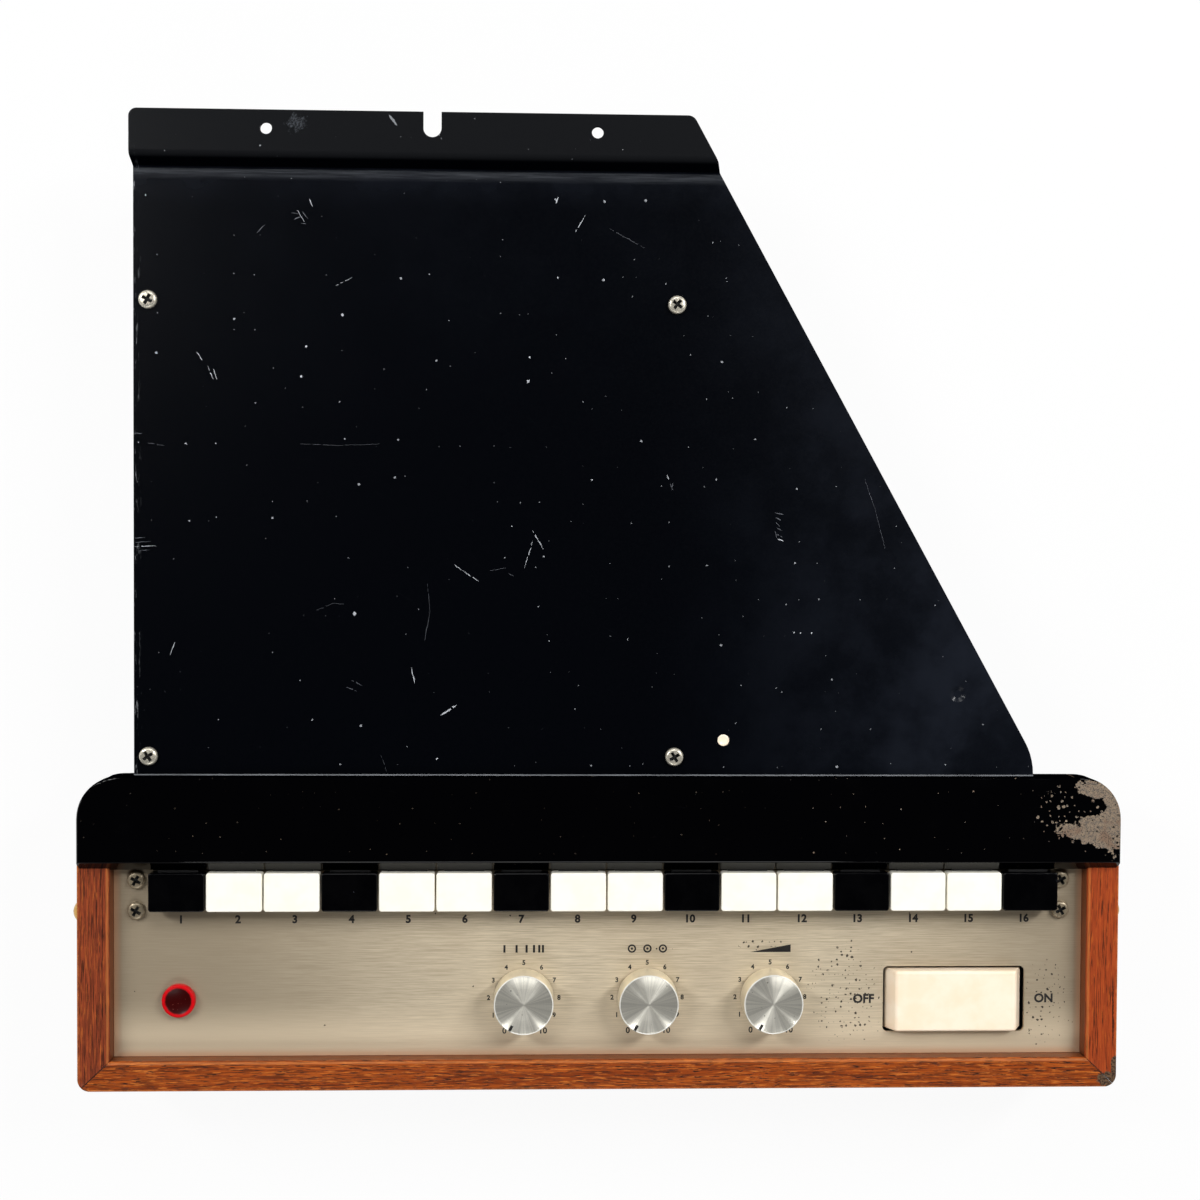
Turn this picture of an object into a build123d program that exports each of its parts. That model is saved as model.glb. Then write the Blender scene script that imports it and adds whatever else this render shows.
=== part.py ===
from build123d import *

import os
from math import asin, atan2, cos, degrees, radians, sin, tan

os.makedirs("parts", exist_ok=True)

# Organ-mount drum machine: a rear chassis under a black steel deck, and a head with the
# face panel, the rhythm keys and a wooden surround.
# Millimetres. X runs to the right, Y to the rear, Z up. The origin is the centre of the
# base, under the middle of the whole outline. Depths are counted from the front rail's face.

# ---------------------------------------------------------------- head and its levels
head_width = 390.0          # over the key cover
head_depth = 118.8          # front rail's face to the key cover's rear edge
panel_height = 45.0         # top of the face panel above the base
wood_rise = 7.5             # wood above the face panel
key_cover_rise = 12.0       # key cover above the face panel
deck_drop = 3.0             # deck below the key cover
fit_gap = 0.1               # between fixed pieces that lie side by side
hole_gap = 0.2              # round a screw or a bush in its hole
shaft_gap = 0.05            # round a shaft that turns in its bore
press_gap = 0.02            # round a shaft or thread that is held fast

# ---------------------------------------------------------------- deck with its rear flange
deck_sheet = 1.5
deck_left_inset = 20.8      # left edge, from the left end of the key cover
deck_right_inset = 33.0     # right edge at the head, from the right end of the key cover
deck_length = 224.4         # key cover to the foot of the riser
deck_overhang = 10.5        # right edge at the foot of the riser, past the chassis
deck_straight = 7.2         # straight right side before the slant starts
deck_slant_radius = 25.0
deck_lap = 6.0              # deck that runs under the key cover
riser_run = 2.9
flange_rise = 8.0
flange_depth = 16.5
flange_left_radius = 3.0
flange_right_radius = 3.6
flange_right_step = 1.4     # flange's right edge, in from the deck's
bend_radius = 1.0
lip_height = 9.0            # turned-down edge along the slant
lip_end = 4.0               # lip stops this far before the riser

flange_hole_radius = 2.15
flange_hole_spacing = 120.7
flange_hole_left = 110.0    # middle of the two holes, from the deck's left edge
flange_hole_inset = 6.7     # holes from the flange's rear edge
slot_width = 6.6
slot_depth = 9.2

cover_screw_left = 4.2      # from the chassis' left wall
cover_screw_right = 5.1     # from the chassis' right wall
cover_screw_front = 7.2     # behind the key cover
cover_screw_spacing = 168.4
eyelet_aside = 13.3         # to the right of the chassis
eyelet_behind = 13.4        # behind the key cover
eyelet_radius = 2.2
eyelet_tube_radius = 1.9
eyelet_bore_radius = 1.4
eyelet_rim = 0.5
eyelet_round = 0.25
eyelet_bore = 1.2           # depth of the eyelet's blind bore
plug_inset = 28.9           # blind screw dimple in the wing, from the deck's right edge
plug_behind = 30.9
plug_radius = 3.0
plug_depth = 0.7

# ---------------------------------------------------------------- rear chassis
chassis_sheet = 1.2
chassis_width = 204.4
chassis_side_gap = 1.2      # deck overhang at the left
chassis_rear_gap = 1.8      # chassis in front of the riser's foot
chassis_flange = 12.0       # turned-in top edge that takes the cover screws
loom_hole_radius = 11.0
loom_hole_left = 103.0      # from the chassis' left wall
loom_hole_height = 24.0

# ---------------------------------------------------------------- head tray
tray_sheet = 1.2
tray_shelf = 14.0           # inward shelf that takes the panel screws
tray_shelf_front = 27.2     # shelf starts this far in front of the apron
tray_shelf_lap = 1.8        # and ends this far behind the apron's front edge
tray_step_lap = 4.8         # side walls rise this far behind it
tray_notch_depth = 6.0      # rear corners step forward, up to the notch's height
tray_notch_height = 36.9
tray_notch_left = 6.65      # from the tray's side
tray_notch_right = 18.85
tray_screw_spacing = 150.0
tray_screw_low = 12.0
tray_screw_high = 32.0

# ---------------------------------------------------------------- wooden surround
wood_thickness = 11.3       # front rail
cheek_thickness = 12.05
wood_proud = 0.9            # wood past the key cover on each side
cheek_rear_gap = 7.8        # cheeks in front of the key cover's rear edge
cheek_rear_radius = 14.0
wood_front_radius = 4.6
wood_inner_round = 1.4
wood_outer_round = 0.7
wood_foot = 0.8             # wood above the base
cheek_screw_depth = 65.6
cheek_screw_height = 40.0
cheek_screw_radius = 4.8
cheek_screw_dome = 4.0
cheek_screw_length = 14.5
rail_screw_spacing = 120.0
rail_screw_height = 20.0

# ---------------------------------------------------------------- key cover
key_cover_sheet = 1.2
key_cover_corner = 16.0
key_cover_front_corner = 2.0
apron_run = 3.5             # slope of the apron, seen from above
key_cover_depth = 35.6      # apron's front edge to the rear edge
apron_bottom_rise = 6.5     # apron's lower edge above the face panel
rear_skirt = 10.0
cover_edge_round = 0.9

# ---------------------------------------------------------------- face panel
panel_sheet = 1.5
panel_lap = 2.8             # face panel under the apron
panel_screw_inset = 8.6     # from the tray's side
panel_screw_front = 16.5    # in front of the apron
panel_screw_rear = 4.9

# ---------------------------------------------------------------- keys and their mechanism
key_count = 16
key_side_gap = 13.13        # row of keys from the tray's sides, mean of both
key_row_shift = 1.35        # row of keys to the right of the middle
key_gap = 0.6               # between two keys
key_length = 14.5
key_apron_gap = 0.8         # between the keys and the apron
key_top_rise = 10.0         # key top above the face panel
key_cap_height = 5.4
key_corner = 0.9
key_edge_round = 0.7
key_travel = 6.0            # degrees
shank_inset = 2.85          # shank from the side of its cap
shank_height = 2.5
shank_drop = 4.3            # shank's upper face below the key top
shank_joint = 3.0           # shank under the cap
pivot_back = 10.8           # pivot in front of the head's rear edge
pivot_rise = 4.0            # pivot above the face panel
pivot_radius = 1.5
hub_radius = 3.2
hub_space = 3.7             # between two hubs
tail_width = 8.0
tail_length = 7.0           # behind the pivot
tail_height = 2.0
lug_front = 12.0            # in front of the pivot
lug_width = 1.8
lug_length = 3.0
lug_drop = 12.0             # lug's end below the pivot
lug_clearance = 0.15        # behind the lug of a pressed key

bracket_sheet = 1.2
bracket_side_gap = 3.45     # end plates from the tray's side walls
bracket_front = 19.4        # in front of the pivot
bracket_notch_gap = 0.4     # end plates from the tray's stepped corners
bracket_back = 7.6          # behind the pivot
bracket_shelf_drop = 9.4    # shelf's upper face below the pivot
ear_every = 4
stop_rail_width = 5.0
stop_rail_rise = 5.2        # stop rail's upper face above the pivot
rest_gap = 0.1              # felt above the resting shanks
rod_reach = 1.2             # pivot rod past the end plates
rod_chamfer = 0.3

latch_travel = 2.0
latch_sheet = 1.2
latch_front = 15.6          # in front of the pivot
latch_back = 6.6
latch_side_gap = 4.4        # between the bar and the end plates
latch_gap = 0.1
latch_play = 0.6            # round each lug
latch_tab = 5.0             # upright tab at the spring's end
spring_wire = 0.4
spring_radius = 1.7
spring_gap = 0.15
spring_behind = 4.6         # behind the pivot

board_sheet = 1.6
switch_board_drop = 11.0    # switch board below the bracket's shelf
contact_width = 6.0
contact_length = 6.0
contact_front = 6.4         # in front of the pivot
contact_margin = 2.0        # switch board behind the contacts
blade_sheet = 0.4
blade_width = 3.0
blade_length = 11.0
blade_drop = 3.0            # upper blade below the shelf
blade_spacing = 1.8

# ---------------------------------------------------------------- knobs and potentiometers
knob_names = ["tempo", "cymbal", "volume"]
knob_rocker_spacing = 70.6  # last knob to the rocker
knob_spacing = 46.9
knob_depth = 33.1
knob_radius = 11.4
knob_face_radius = 11.15
knob_height = 12.0
knob_float = 0.8            # knob above the face panel
knob_rim = 0.6
knob_dish = 0.3
knob_recess_radius = 7.6
knob_recess = 4.4
knob_edge = 0.25
mark_angle = 241.0          # index slot at the lowest setting, degrees from +X
mark_inner = 8.7            # slot's inner end from the middle of the knob
mark_width = 1.1
mark_depth = 0.3            # below the dished face
shaft_radius = 3.0
shaft_reach = 10.0          # shaft above the face panel
shaft_tail = 6.5            # shaft below the face panel, inside the pot
pot_radius = 12.0
pot_length = 11.0
bush_radius = 4.6
bush_reach = 3.6            # bush above the face panel
nut_across = 12.0
nut_height = 2.2
pot_tag_pitch = 5.0
pot_tag_length = 6.0
pot_tag_width = 2.4
pot_tag_sheet = 0.6

# ---------------------------------------------------------------- start rocker
rocker_inset = 49.05        # from the tray's side
rocker_depth = 32.2
rocker_cut_width = 54.5
rocker_cut_depth = 25.2
rocker_cut_radius = 2.0
rocker_tilt = 6.0           # degrees to either side of the level rest
rocker_pivot_drop = 5.0     # pivot below the face panel's top
rocker_face_half = 23.0
rocker_face_rise = 9.5
rocker_waist_half = 26.3
rocker_waist_rise = 2.5
rocker_skirt = 3.0
rocker_width = 23.2
rocker_round = 0.8
rocker_wall = 2.2
rocker_nib = 5.0
trunnion_radius = 2.0
trunnion_length = 3.4
housing_gap = 0.6           # cavity past the cut-out on each side
housing_wall = 2.4
housing_depth = 20.0
housing_floor = 3.0
housing_tag_pitch = 12.0

# ---------------------------------------------------------------- lamp
lamp_inset = 24.55          # from the tray's side
lamp_depth = 32.8
lamp_radius = 6.25
lamp_rise = 2.8
lamp_dish_radius = 5.2
lamp_dish = 0.9
lamp_edge = 0.5
lamp_stem_radius = 5.2
lamp_stem = 9.0
lamp_pocket_radius = 3.9
holder_wall = 1.8
holder_length = 19.0
bulb_radius = 2.6
bulb_length = 9.0
bulb_round = 2.3
bulb_cap_radius = 3.2
bulb_cap_length = 7.0
socket_floor = 2.0

# ---------------------------------------------------------------- screws
panel_screw_head = 3.4
cover_screw_head = 3.4
screw_head_height = 2.0
screw_round = 0.9
screw_shank_radius = 1.75
screw_shank_length = 7.0
recess_width = 1.0
recess_length = 3.8
recess_depth = 1.1

# ---------------------------------------------------------------- electronics
board_coil_gap = 4.4        # between the main board and the transformer's coil
main_board_length = 170.0
main_board_height = 8.0
main_board_left = 8.0       # board from the chassis' left wall
main_board_front = 16.0     # board from the chassis' front wall
standoff_radius = 3.0
standoff_inset = 6.0
stud_radius = 1.5
stud_reach = 2.0            # stud above the board
capacitor_radius = 5.0
capacitor_height = 16.0
can_radius = 2.6
can_height = 5.0
can_round = 1.0             # edge of the capacitor cans and of the potentiometers
resistor_radius = 1.2
resistor_length = 7.0
part_pitch_x = 18.0
part_pitch_y = 21.0
transformer_width = 38.0
transformer_length = 50.0
transformer_height = 34.0
transformer_right = 14.0    # core from the chassis' right wall
transformer_front = 120.0   # core from the chassis' front wall
coil_bulge = 8.0
coil_length = 34.0
coil_height = 24.0

# ---------------------------------------------------------------- rear fittings
jack_left = 61.0            # from the chassis' left wall
fuse_right = 71.4           # from the chassis' right wall
grommet_right = 41.4
rear_fitting_height = 27.0
jack_bore_radius = 3.25
jack_bore_length = 16.0
jack_thread_radius = 4.7
jack_thread_reach = 4.0
jack_body_radius = 7.0
jack_body_length = 18.0
fuse_neck_radius = 6.2
fuse_cap_radius = 7.0
fuse_cap_length = 8.0
fuse_body_radius = 5.6
fuse_body_length = 28.0
fuse_slot = 1.4
fitting_round = 1.0         # outer edge of the fuse cap and of the grommet
grommet_neck_radius = 6.0
grommet_collar_radius = 8.0
grommet_collar = 3.0
grommet_bore_radius = 3.6

# ================================================================ derived places
overall_depth = head_depth + deck_length + riser_run + flange_depth
front_y = -overall_depth / 2
cover_back_y = front_y + head_depth
riser_foot_y = cover_back_y + deck_length
riser_head_y = riser_foot_y + riser_run
flange_back_y = riser_head_y + flange_depth

panel_under = panel_height - panel_sheet
wood_top = panel_height + wood_rise
key_cover_top = panel_height + key_cover_rise
key_cover_under = key_cover_top - key_cover_sheet
deck_top = key_cover_top - deck_drop
deck_under = deck_top - deck_sheet
flange_top = deck_top + flange_rise

wood_half = head_width / 2 + wood_proud
tray_half = wood_half - cheek_thickness
tray_corner = tray_half - (head_width / 2 - key_cover_corner)
tray_front_y = front_y + wood_thickness
tray_back_y = cover_back_y - key_cover_sheet
apron_front_y = cover_back_y - key_cover_depth
deck_left = head_width / 2 - deck_left_inset
deck_right = head_width / 2 - deck_right_inset
chassis_x0 = -deck_left + chassis_side_gap
chassis_right = chassis_x0 + chassis_width
chassis_y0 = tray_back_y
chassis_y1 = riser_foot_y - chassis_rear_gap
deck_rear_right = chassis_right + deck_overhang
slant_per_y = (deck_right - deck_rear_right) / (deck_length - deck_straight)
flange_foot_x = deck_rear_right - flange_right_step
flange_right_x = flange_foot_x - slant_per_y * (flange_back_y - riser_head_y)

cover_screw_points = [
    (x, cover_back_y + cover_screw_front + y)
    for x in (chassis_x0 + cover_screw_left, chassis_right - cover_screw_right)
    for y in (0, cover_screw_spacing)
]
panel_screw_points = [
    (side * (tray_half - panel_screw_inset), apron_front_y - depth)
    for side in (-1, 1)
    for depth in (panel_screw_front, panel_screw_rear)
]
flange_hole_y = flange_back_y - flange_hole_inset
flange_hole_center = flange_hole_left - deck_left
flange_hole_points = [
    (flange_hole_center + side * flange_hole_spacing / 2, flange_hole_y) for side in (-1, 1)
]
key_pitch = 2 * (tray_half - key_side_gap) / key_count
key_width = key_pitch - key_gap
key_back_y = apron_front_y - key_apron_gap
key_front_y = key_back_y - key_length
key_xs = [
    key_row_shift + (i - (key_count - 1) / 2) * key_pitch for i in range(key_count)
]
rocker_x = tray_half - rocker_inset
lamp_x = lamp_inset - tray_half
knob_first = rocker_x - knob_rocker_spacing - (len(knob_names) - 1) * knob_spacing
knob_xs = [knob_first + i * knob_spacing for i in range(len(knob_names))]
knob_y = front_y + knob_depth
pivot_y = cover_back_y - pivot_back
pivot_z = panel_height + pivot_rise
rocker_y = front_y + rocker_depth
rocker_z = panel_height - rocker_pivot_drop
lamp_y = front_y + lamp_depth
bracket_half = tray_half - tray_sheet - bracket_side_gap
latch_half = bracket_half - latch_side_gap
shelf_top = pivot_z - bracket_shelf_drop
shelf_under = shelf_top - bracket_sheet
key_top = panel_height + key_top_rise
shank_top = key_top - shank_drop
stop_rail_top = pivot_z + stop_rail_rise
stop_rail_under = stop_rail_top - bracket_sheet
switch_board_top = shelf_under - switch_board_drop
main_board_top = main_board_height + board_sheet
main_board_x0 = chassis_x0 + main_board_left
core_x1 = chassis_right - transformer_right
core_x0 = core_x1 - transformer_width
main_board_width = core_x0 - coil_bulge - board_coil_gap - main_board_x0
main_board_y0 = chassis_y0 + main_board_front
standoff_points = [
    (main_board_x0 + x, main_board_y0 + y)
    for x in (standoff_inset, main_board_width - standoff_inset)
    for y in (standoff_inset, main_board_length - standoff_inset)
]
chassis_mid_x = (chassis_x0 + chassis_right) / 2
tray_screw_points = [
    (-(chassis_mid_x + side * tray_screw_spacing / 2), height)
    for side in (-1, 1)
    for height in (tray_screw_low, tray_screw_high)
]
rail_screw_points = [(x * rail_screw_spacing, rail_screw_height) for x in (-1, 0, 1)]
cheek_screw_point = (front_y + cheek_screw_depth, cheek_screw_height)
eyelet_point = (chassis_right + eyelet_aside, cover_back_y + eyelet_behind)
plug_point = (deck_right - plug_inset, cover_back_y + plug_behind)
loom_hole_x = chassis_x0 + loom_hole_left
jack_x = chassis_x0 + jack_left
fuse_x = chassis_right - fuse_right
grommet_x = chassis_right - grommet_right


# ================================================================ helpers
def block(x0, x1, y0, y1, z0, z1, mode=Mode.ADD):
    """A box between two corners, in the part that is being built."""
    with Locations(((x0 + x1) / 2, (y0 + y1) / 2, (z0 + z1) / 2)):
        Box(x1 - x0, y1 - y0, z1 - z0, mode=mode)


def pins(plane, points, radius, length, mode=Mode.ADD):
    """Round pins at the plane's own points, along its normal."""
    with BuildSketch(plane) as circles:
        with Locations(*points):
            Circle(radius)
    extrude(circles.sketch, amount=length, mode=mode)


def holes(plane, points, radius, length):
    """Round holes at the plane's own points, along its normal."""
    pins(plane, points, radius, length, mode=Mode.SUBTRACT)


def near(sketch, *points):
    """The corners of a sketch that lie at these points."""
    return [sketch.vertices().sort_by_distance((x, y, 0))[0] for x, y in points]


def cross_screws(plane, points, head_radius, shank_length=screw_shank_length):
    """Pan-head cross-recess screws seated on a plane, heads along its normal."""
    pins(plane, points, head_radius, screw_head_height)
    crowns = edges().group_by(Axis((0, 0, 0), plane.z_dir))[-1]
    fillet(crowns, radius=screw_round)
    with BuildSketch(plane.offset(screw_head_height)) as crosses:
        with Locations(*points):
            Rectangle(recess_length, recess_width)
            Rectangle(recess_width, recess_length)
    extrude(crosses.sketch, amount=-recess_depth, mode=Mode.SUBTRACT)
    pins(plane, points, screw_shank_radius, -shank_length)


def upright(x, y):
    """A plane through a vertical axis, with its own X to the right and Y up."""
    return Plane(origin=(x, y, 0), x_dir=(1, 0, 0), z_dir=(0, -1, 0))


# ================================================================ top cover
riser_angle = radians(90) - atan2(riser_run, flange_rise)
bend_shift = deck_sheet * tan(riser_angle / 2)
upper_foot = (riser_foot_y, deck_top)
upper_head = (riser_head_y, flange_top)
lower_foot = (riser_foot_y + bend_shift, deck_under)
lower_head = (riser_head_y + bend_shift, flange_top - deck_sheet)

with BuildPart() as top_cover:
    with BuildSketch(Plane.YZ) as deck_profile:
        with BuildLine():
            Polyline(
                (cover_back_y - deck_lap, deck_top),
                upper_foot,
                upper_head,
                (flange_back_y, flange_top),
                (flange_back_y, flange_top - deck_sheet),
                lower_head,
                lower_foot,
                (cover_back_y - deck_lap, deck_under),
                close=True,
            )
        make_face()
        fillet(near(deck_profile, upper_foot, lower_head), radius=bend_radius)
        fillet(near(deck_profile, lower_foot, upper_head), radius=bend_radius + deck_sheet)
    extrude(amount=head_width, both=True)
    with BuildSketch(Plane.XY.offset(deck_under)) as deck_plan:
        with BuildLine():
            Polyline(
                (-deck_left, cover_back_y - deck_lap),
                (-deck_left, flange_back_y),
                (flange_right_x, flange_back_y),
                (flange_foot_x, riser_head_y),
                (deck_rear_right, riser_foot_y),
                (deck_right, cover_back_y + deck_straight),
                (deck_right, cover_back_y - deck_lap),
                close=True,
            )
        make_face()
        fillet(near(deck_plan, (-deck_left, flange_back_y)), radius=flange_left_radius)
        fillet(near(deck_plan, (flange_right_x, flange_back_y)), radius=flange_right_radius)
        slant_corner = near(deck_plan, (deck_right, cover_back_y + deck_straight))
        fillet(slant_corner, radius=deck_slant_radius)
    extrude(amount=flange_top - deck_under, mode=Mode.INTERSECT)
    # turned-down lip along the slanted side
    with BuildSketch(Plane.XY.offset(deck_top - lip_height)):
        add(deck_plan.sketch_local)
        offset(amount=-deck_sheet, mode=Mode.SUBTRACT)
        with Locations((head_width / 2, (cover_back_y + riser_foot_y - lip_end) / 2)):
            Rectangle(head_width, deck_length - lip_end - 2 * fit_gap, mode=Mode.INTERSECT)
    extrude(amount=lip_height - deck_sheet / 2)
    holes(Plane.XY.offset(deck_under), cover_screw_points, screw_shank_radius + hole_gap, deck_sheet)
    flange_under = Plane.XY.offset(flange_top - deck_sheet)
    holes(flange_under, flange_hole_points, flange_hole_radius, deck_sheet)
    with BuildSketch(flange_under):
        with Locations((flange_hole_center, flange_back_y - slot_depth + slot_width / 2)):
            Circle(slot_width / 2)
        with Locations((flange_hole_center, flange_back_y)):
            Rectangle(slot_width, 2 * slot_depth - slot_width)
    extrude(amount=deck_sheet, mode=Mode.SUBTRACT)
    holes(Plane.XY.offset(deck_under), [eyelet_point], eyelet_tube_radius + fit_gap, deck_sheet)
    with Locations((*plug_point, deck_top)):
        Cone(
            plug_radius / 2, plug_radius, plug_depth,
            align=(Align.CENTER, Align.CENTER, Align.MAX), mode=Mode.SUBTRACT,
        )
top_cover.part.label = "top_cover"
export_step(top_cover.part, "parts/top_cover.step")


# ================================================================ eyelet
with BuildPart() as eyelet:
    pins(Plane.XY.offset(deck_under - eyelet_rim), [eyelet_point], eyelet_tube_radius, deck_sheet)
    pins(Plane.XY.offset(deck_top), [eyelet_point], eyelet_tube_radius, -eyelet_rim)
    pins(Plane.XY.offset(deck_top), [eyelet_point], eyelet_radius, eyelet_rim)
    fillet(eyelet.edges().group_by(Axis.Z)[-1], radius=eyelet_round)
    holes(Plane.XY.offset(deck_top + eyelet_rim), [eyelet_point], eyelet_bore_radius, -eyelet_bore)
eyelet.part.label = "eyelet"
export_step(eyelet.part, "parts/eyelet.step")


# ================================================================ rear chassis
rear_openings = [
    (jack_x, jack_thread_radius),
    (fuse_x, fuse_neck_radius),
    (grommet_x, grommet_neck_radius),
]

with BuildPart() as rear_chassis:
    block(chassis_x0, chassis_right, chassis_y0, chassis_y1, 0, deck_under)
    block(
        chassis_x0 + chassis_sheet, chassis_right - chassis_sheet,
        chassis_y0 + chassis_sheet, chassis_y1 - chassis_sheet,
        chassis_sheet, deck_under, mode=Mode.SUBTRACT,
    )
    fillet(rear_chassis.edges().filter_by(Axis.Y).group_by(Axis.Z)[0], radius=bend_radius)
    for x in (chassis_x0, chassis_right - chassis_flange):
        block(x, x + chassis_flange, chassis_y0, chassis_y1, deck_under - chassis_sheet, deck_under)
    holes(
        Plane.XY.offset(deck_under), cover_screw_points,
        screw_shank_radius + fit_gap, -chassis_sheet,
    )
    for x, radius in rear_openings:
        holes(
            Plane.back.offset(chassis_y1), [(-x, rear_fitting_height)],
            radius + fit_gap, -chassis_sheet,
        )
    front_wall = Plane.back.offset(chassis_y0)
    holes(front_wall, [(-loom_hole_x, loom_hole_height)], loom_hole_radius, chassis_sheet)
    holes(front_wall, tray_screw_points, screw_shank_radius + fit_gap, chassis_sheet)
rear_chassis.part.label = "rear_chassis"
export_step(rear_chassis.part, "parts/rear_chassis.step")


# ================================================================ head tray
with BuildPart() as head_tray:
    block(-tray_half, tray_half, tray_front_y, tray_back_y, 0, deck_under)
    rear_corners = head_tray.edges().filter_by(Axis.Z).group_by(Axis.Y)[-1]
    fillet(rear_corners, radius=tray_corner)
    # the rear corners step forward where the deck doesn't reach over them
    notch_y = tray_back_y - tray_notch_depth
    for x0, x1 in (
        (-tray_half, -tray_half + tray_notch_left),
        (tray_half - tray_notch_right, tray_half),
    ):
        block(x0, x1, notch_y, tray_back_y, 0, tray_notch_height, mode=Mode.SUBTRACT)
    offset(amount=-tray_sheet, openings=head_tray.faces().sort_by(Axis.Z)[-1])
    block(
        -tray_half, tray_half, tray_front_y, apron_front_y + tray_step_lap,
        panel_under, deck_under, mode=Mode.SUBTRACT,
    )
    for x in (-tray_half, tray_half - tray_sheet):
        block(
            x, x + tray_sheet, apron_front_y + tray_step_lap, tray_back_y - tray_corner,
            panel_under, key_cover_under,
        )
    for x in (-tray_half, tray_half - tray_shelf):
        block(
            x, x + tray_shelf, apron_front_y - tray_shelf_front, apron_front_y + tray_shelf_lap,
            panel_under - tray_sheet, panel_under,
        )
    holes(
        Plane.XY.offset(panel_under), panel_screw_points,
        screw_shank_radius + fit_gap, -tray_sheet,
    )
    rear_wall = Plane.back.offset(tray_back_y)
    holes(rear_wall, [(-loom_hole_x, loom_hole_height)], loom_hole_radius, -tray_sheet)
    holes(rear_wall, tray_screw_points, screw_shank_radius + fit_gap, -tray_sheet)
    holes(
        Plane.back.offset(tray_front_y), rail_screw_points,
        screw_shank_radius + fit_gap, tray_sheet,
    )
    for x in (-tray_half, tray_half - tray_sheet):
        holes(Plane.right.offset(x), [cheek_screw_point], screw_shank_radius + fit_gap, tray_sheet)
head_tray.part.label = "head_tray"
export_step(head_tray.part, "parts/head_tray.step")


# ================================================================ wooden surround
def wood_frame():
    """The wooden U, seen from above: rounded outer corners and a straight inner edge."""
    with BuildSketch(Plane.XY.offset(wood_foot)) as frame:
        with Locations((0, front_y)):
            Rectangle(
                2 * wood_half, head_depth - cheek_rear_gap, align=(Align.CENTER, Align.MIN)
            )
        fillet(frame.vertices().group_by(Axis.Y)[0], radius=wood_front_radius)
        fillet(frame.vertices().group_by(Axis.Y)[-1], radius=cheek_rear_radius)
        with Locations((0, tray_front_y)):
            Rectangle(
                2 * tray_half, head_depth, align=(Align.CENTER, Align.MIN), mode=Mode.SUBTRACT
            )
    return frame.sketch


mitre_gap = fit_gap / 2
with BuildPart() as front_rail:
    extrude(wood_frame(), amount=wood_top - wood_foot)
    with BuildSketch(Plane.XY):
        with BuildLine():
            Polyline(
                (-wood_half + mitre_gap, front_y),
                (-tray_half + mitre_gap, tray_front_y),
                (tray_half - mitre_gap, tray_front_y),
                (wood_half - mitre_gap, front_y),
                close=True,
            )
        make_face()
    extrude(amount=wood_top, mode=Mode.INTERSECT)
    top_edges = front_rail.edges().group_by(Axis.Z)[-1].filter_by(Axis.X).sort_by(Axis.Y)
    fillet(top_edges[-1], radius=wood_inner_round)
    top_edges = front_rail.edges().group_by(Axis.Z)[-1].filter_by(Axis.X).sort_by(Axis.Y)
    fillet(top_edges[0], radius=wood_outer_round)
    holes(
        Plane.back.offset(tray_front_y), rail_screw_points,
        screw_shank_radius + fit_gap, -screw_shank_length,
    )
front_rail.part.label = "front_rail"
export_step(front_rail.part, "parts/front_rail.step")

with BuildPart() as left_cheek:
    extrude(wood_frame(), amount=wood_top - wood_foot)
    with BuildSketch(Plane.XY):
        with BuildLine():
            Polyline(
                (-wood_half, front_y + mitre_gap),
                (-tray_half, tray_front_y + mitre_gap),
                (-tray_half, cover_back_y),
                (-wood_half, cover_back_y),
                close=True,
            )
        make_face()
    extrude(amount=wood_top, mode=Mode.INTERSECT)
    top_edges = left_cheek.edges().group_by(Axis.Z)[-1].filter_by(Axis.Y).sort_by(Axis.X)
    fillet(top_edges[-1], radius=wood_inner_round)
    top_edges = left_cheek.edges().group_by(Axis.Z)[-1].filter_by(Axis.Y).sort_by(Axis.X)
    fillet(top_edges[0], radius=wood_outer_round)
    holes(
        Plane.right.offset(-wood_half), [cheek_screw_point],
        screw_shank_radius + fit_gap, cheek_thickness,
    )
left_cheek.part.label = "left_cheek"
export_step(left_cheek.part, "parts/left_cheek.step")

with BuildPart() as right_cheek:
    mirror(left_cheek.part, about=Plane.YZ)
right_cheek.part.label = "right_cheek"
export_step(right_cheek.part, "parts/right_cheek.step")


# ================================================================ key cover
apron_bottom = panel_height + apron_bottom_rise
skirt_bottom = key_cover_top - rear_skirt
apron_slope = atan2(apron_run, key_cover_top - apron_bottom)


def cover_body(inset):
    """The key cover's outer form, or its hollow when inset by the sheet."""
    with BuildSketch(Plane.XY.offset(skirt_bottom)) as plan:
        with Locations((0, apron_front_y)):
            Rectangle(head_width, key_cover_depth, align=(Align.CENTER, Align.MIN))
        fillet(plan.vertices().group_by(Axis.Y)[-1], radius=key_cover_corner)
        fillet(plan.vertices().group_by(Axis.Y)[0], radius=key_cover_front_corner)
        if inset:
            offset(amount=-inset, mode=Mode.REPLACE)
    extrude(plan.sketch, amount=rear_skirt - inset)
    shift = inset / cos(apron_slope)
    with BuildSketch(Plane.YZ) as wedge:
        with BuildLine():
            Polyline(
                (apron_front_y - key_cover_sheet, apron_bottom),
                (apron_front_y + shift, apron_bottom),
                (apron_front_y + shift + apron_run, key_cover_top),
                (apron_front_y - key_cover_sheet, key_cover_top),
                close=True,
            )
        make_face()
    extrude(wedge.sketch, amount=head_width, both=True, mode=Mode.SUBTRACT)


with BuildPart() as cover_hollow:
    cover_body(key_cover_sheet)

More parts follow.
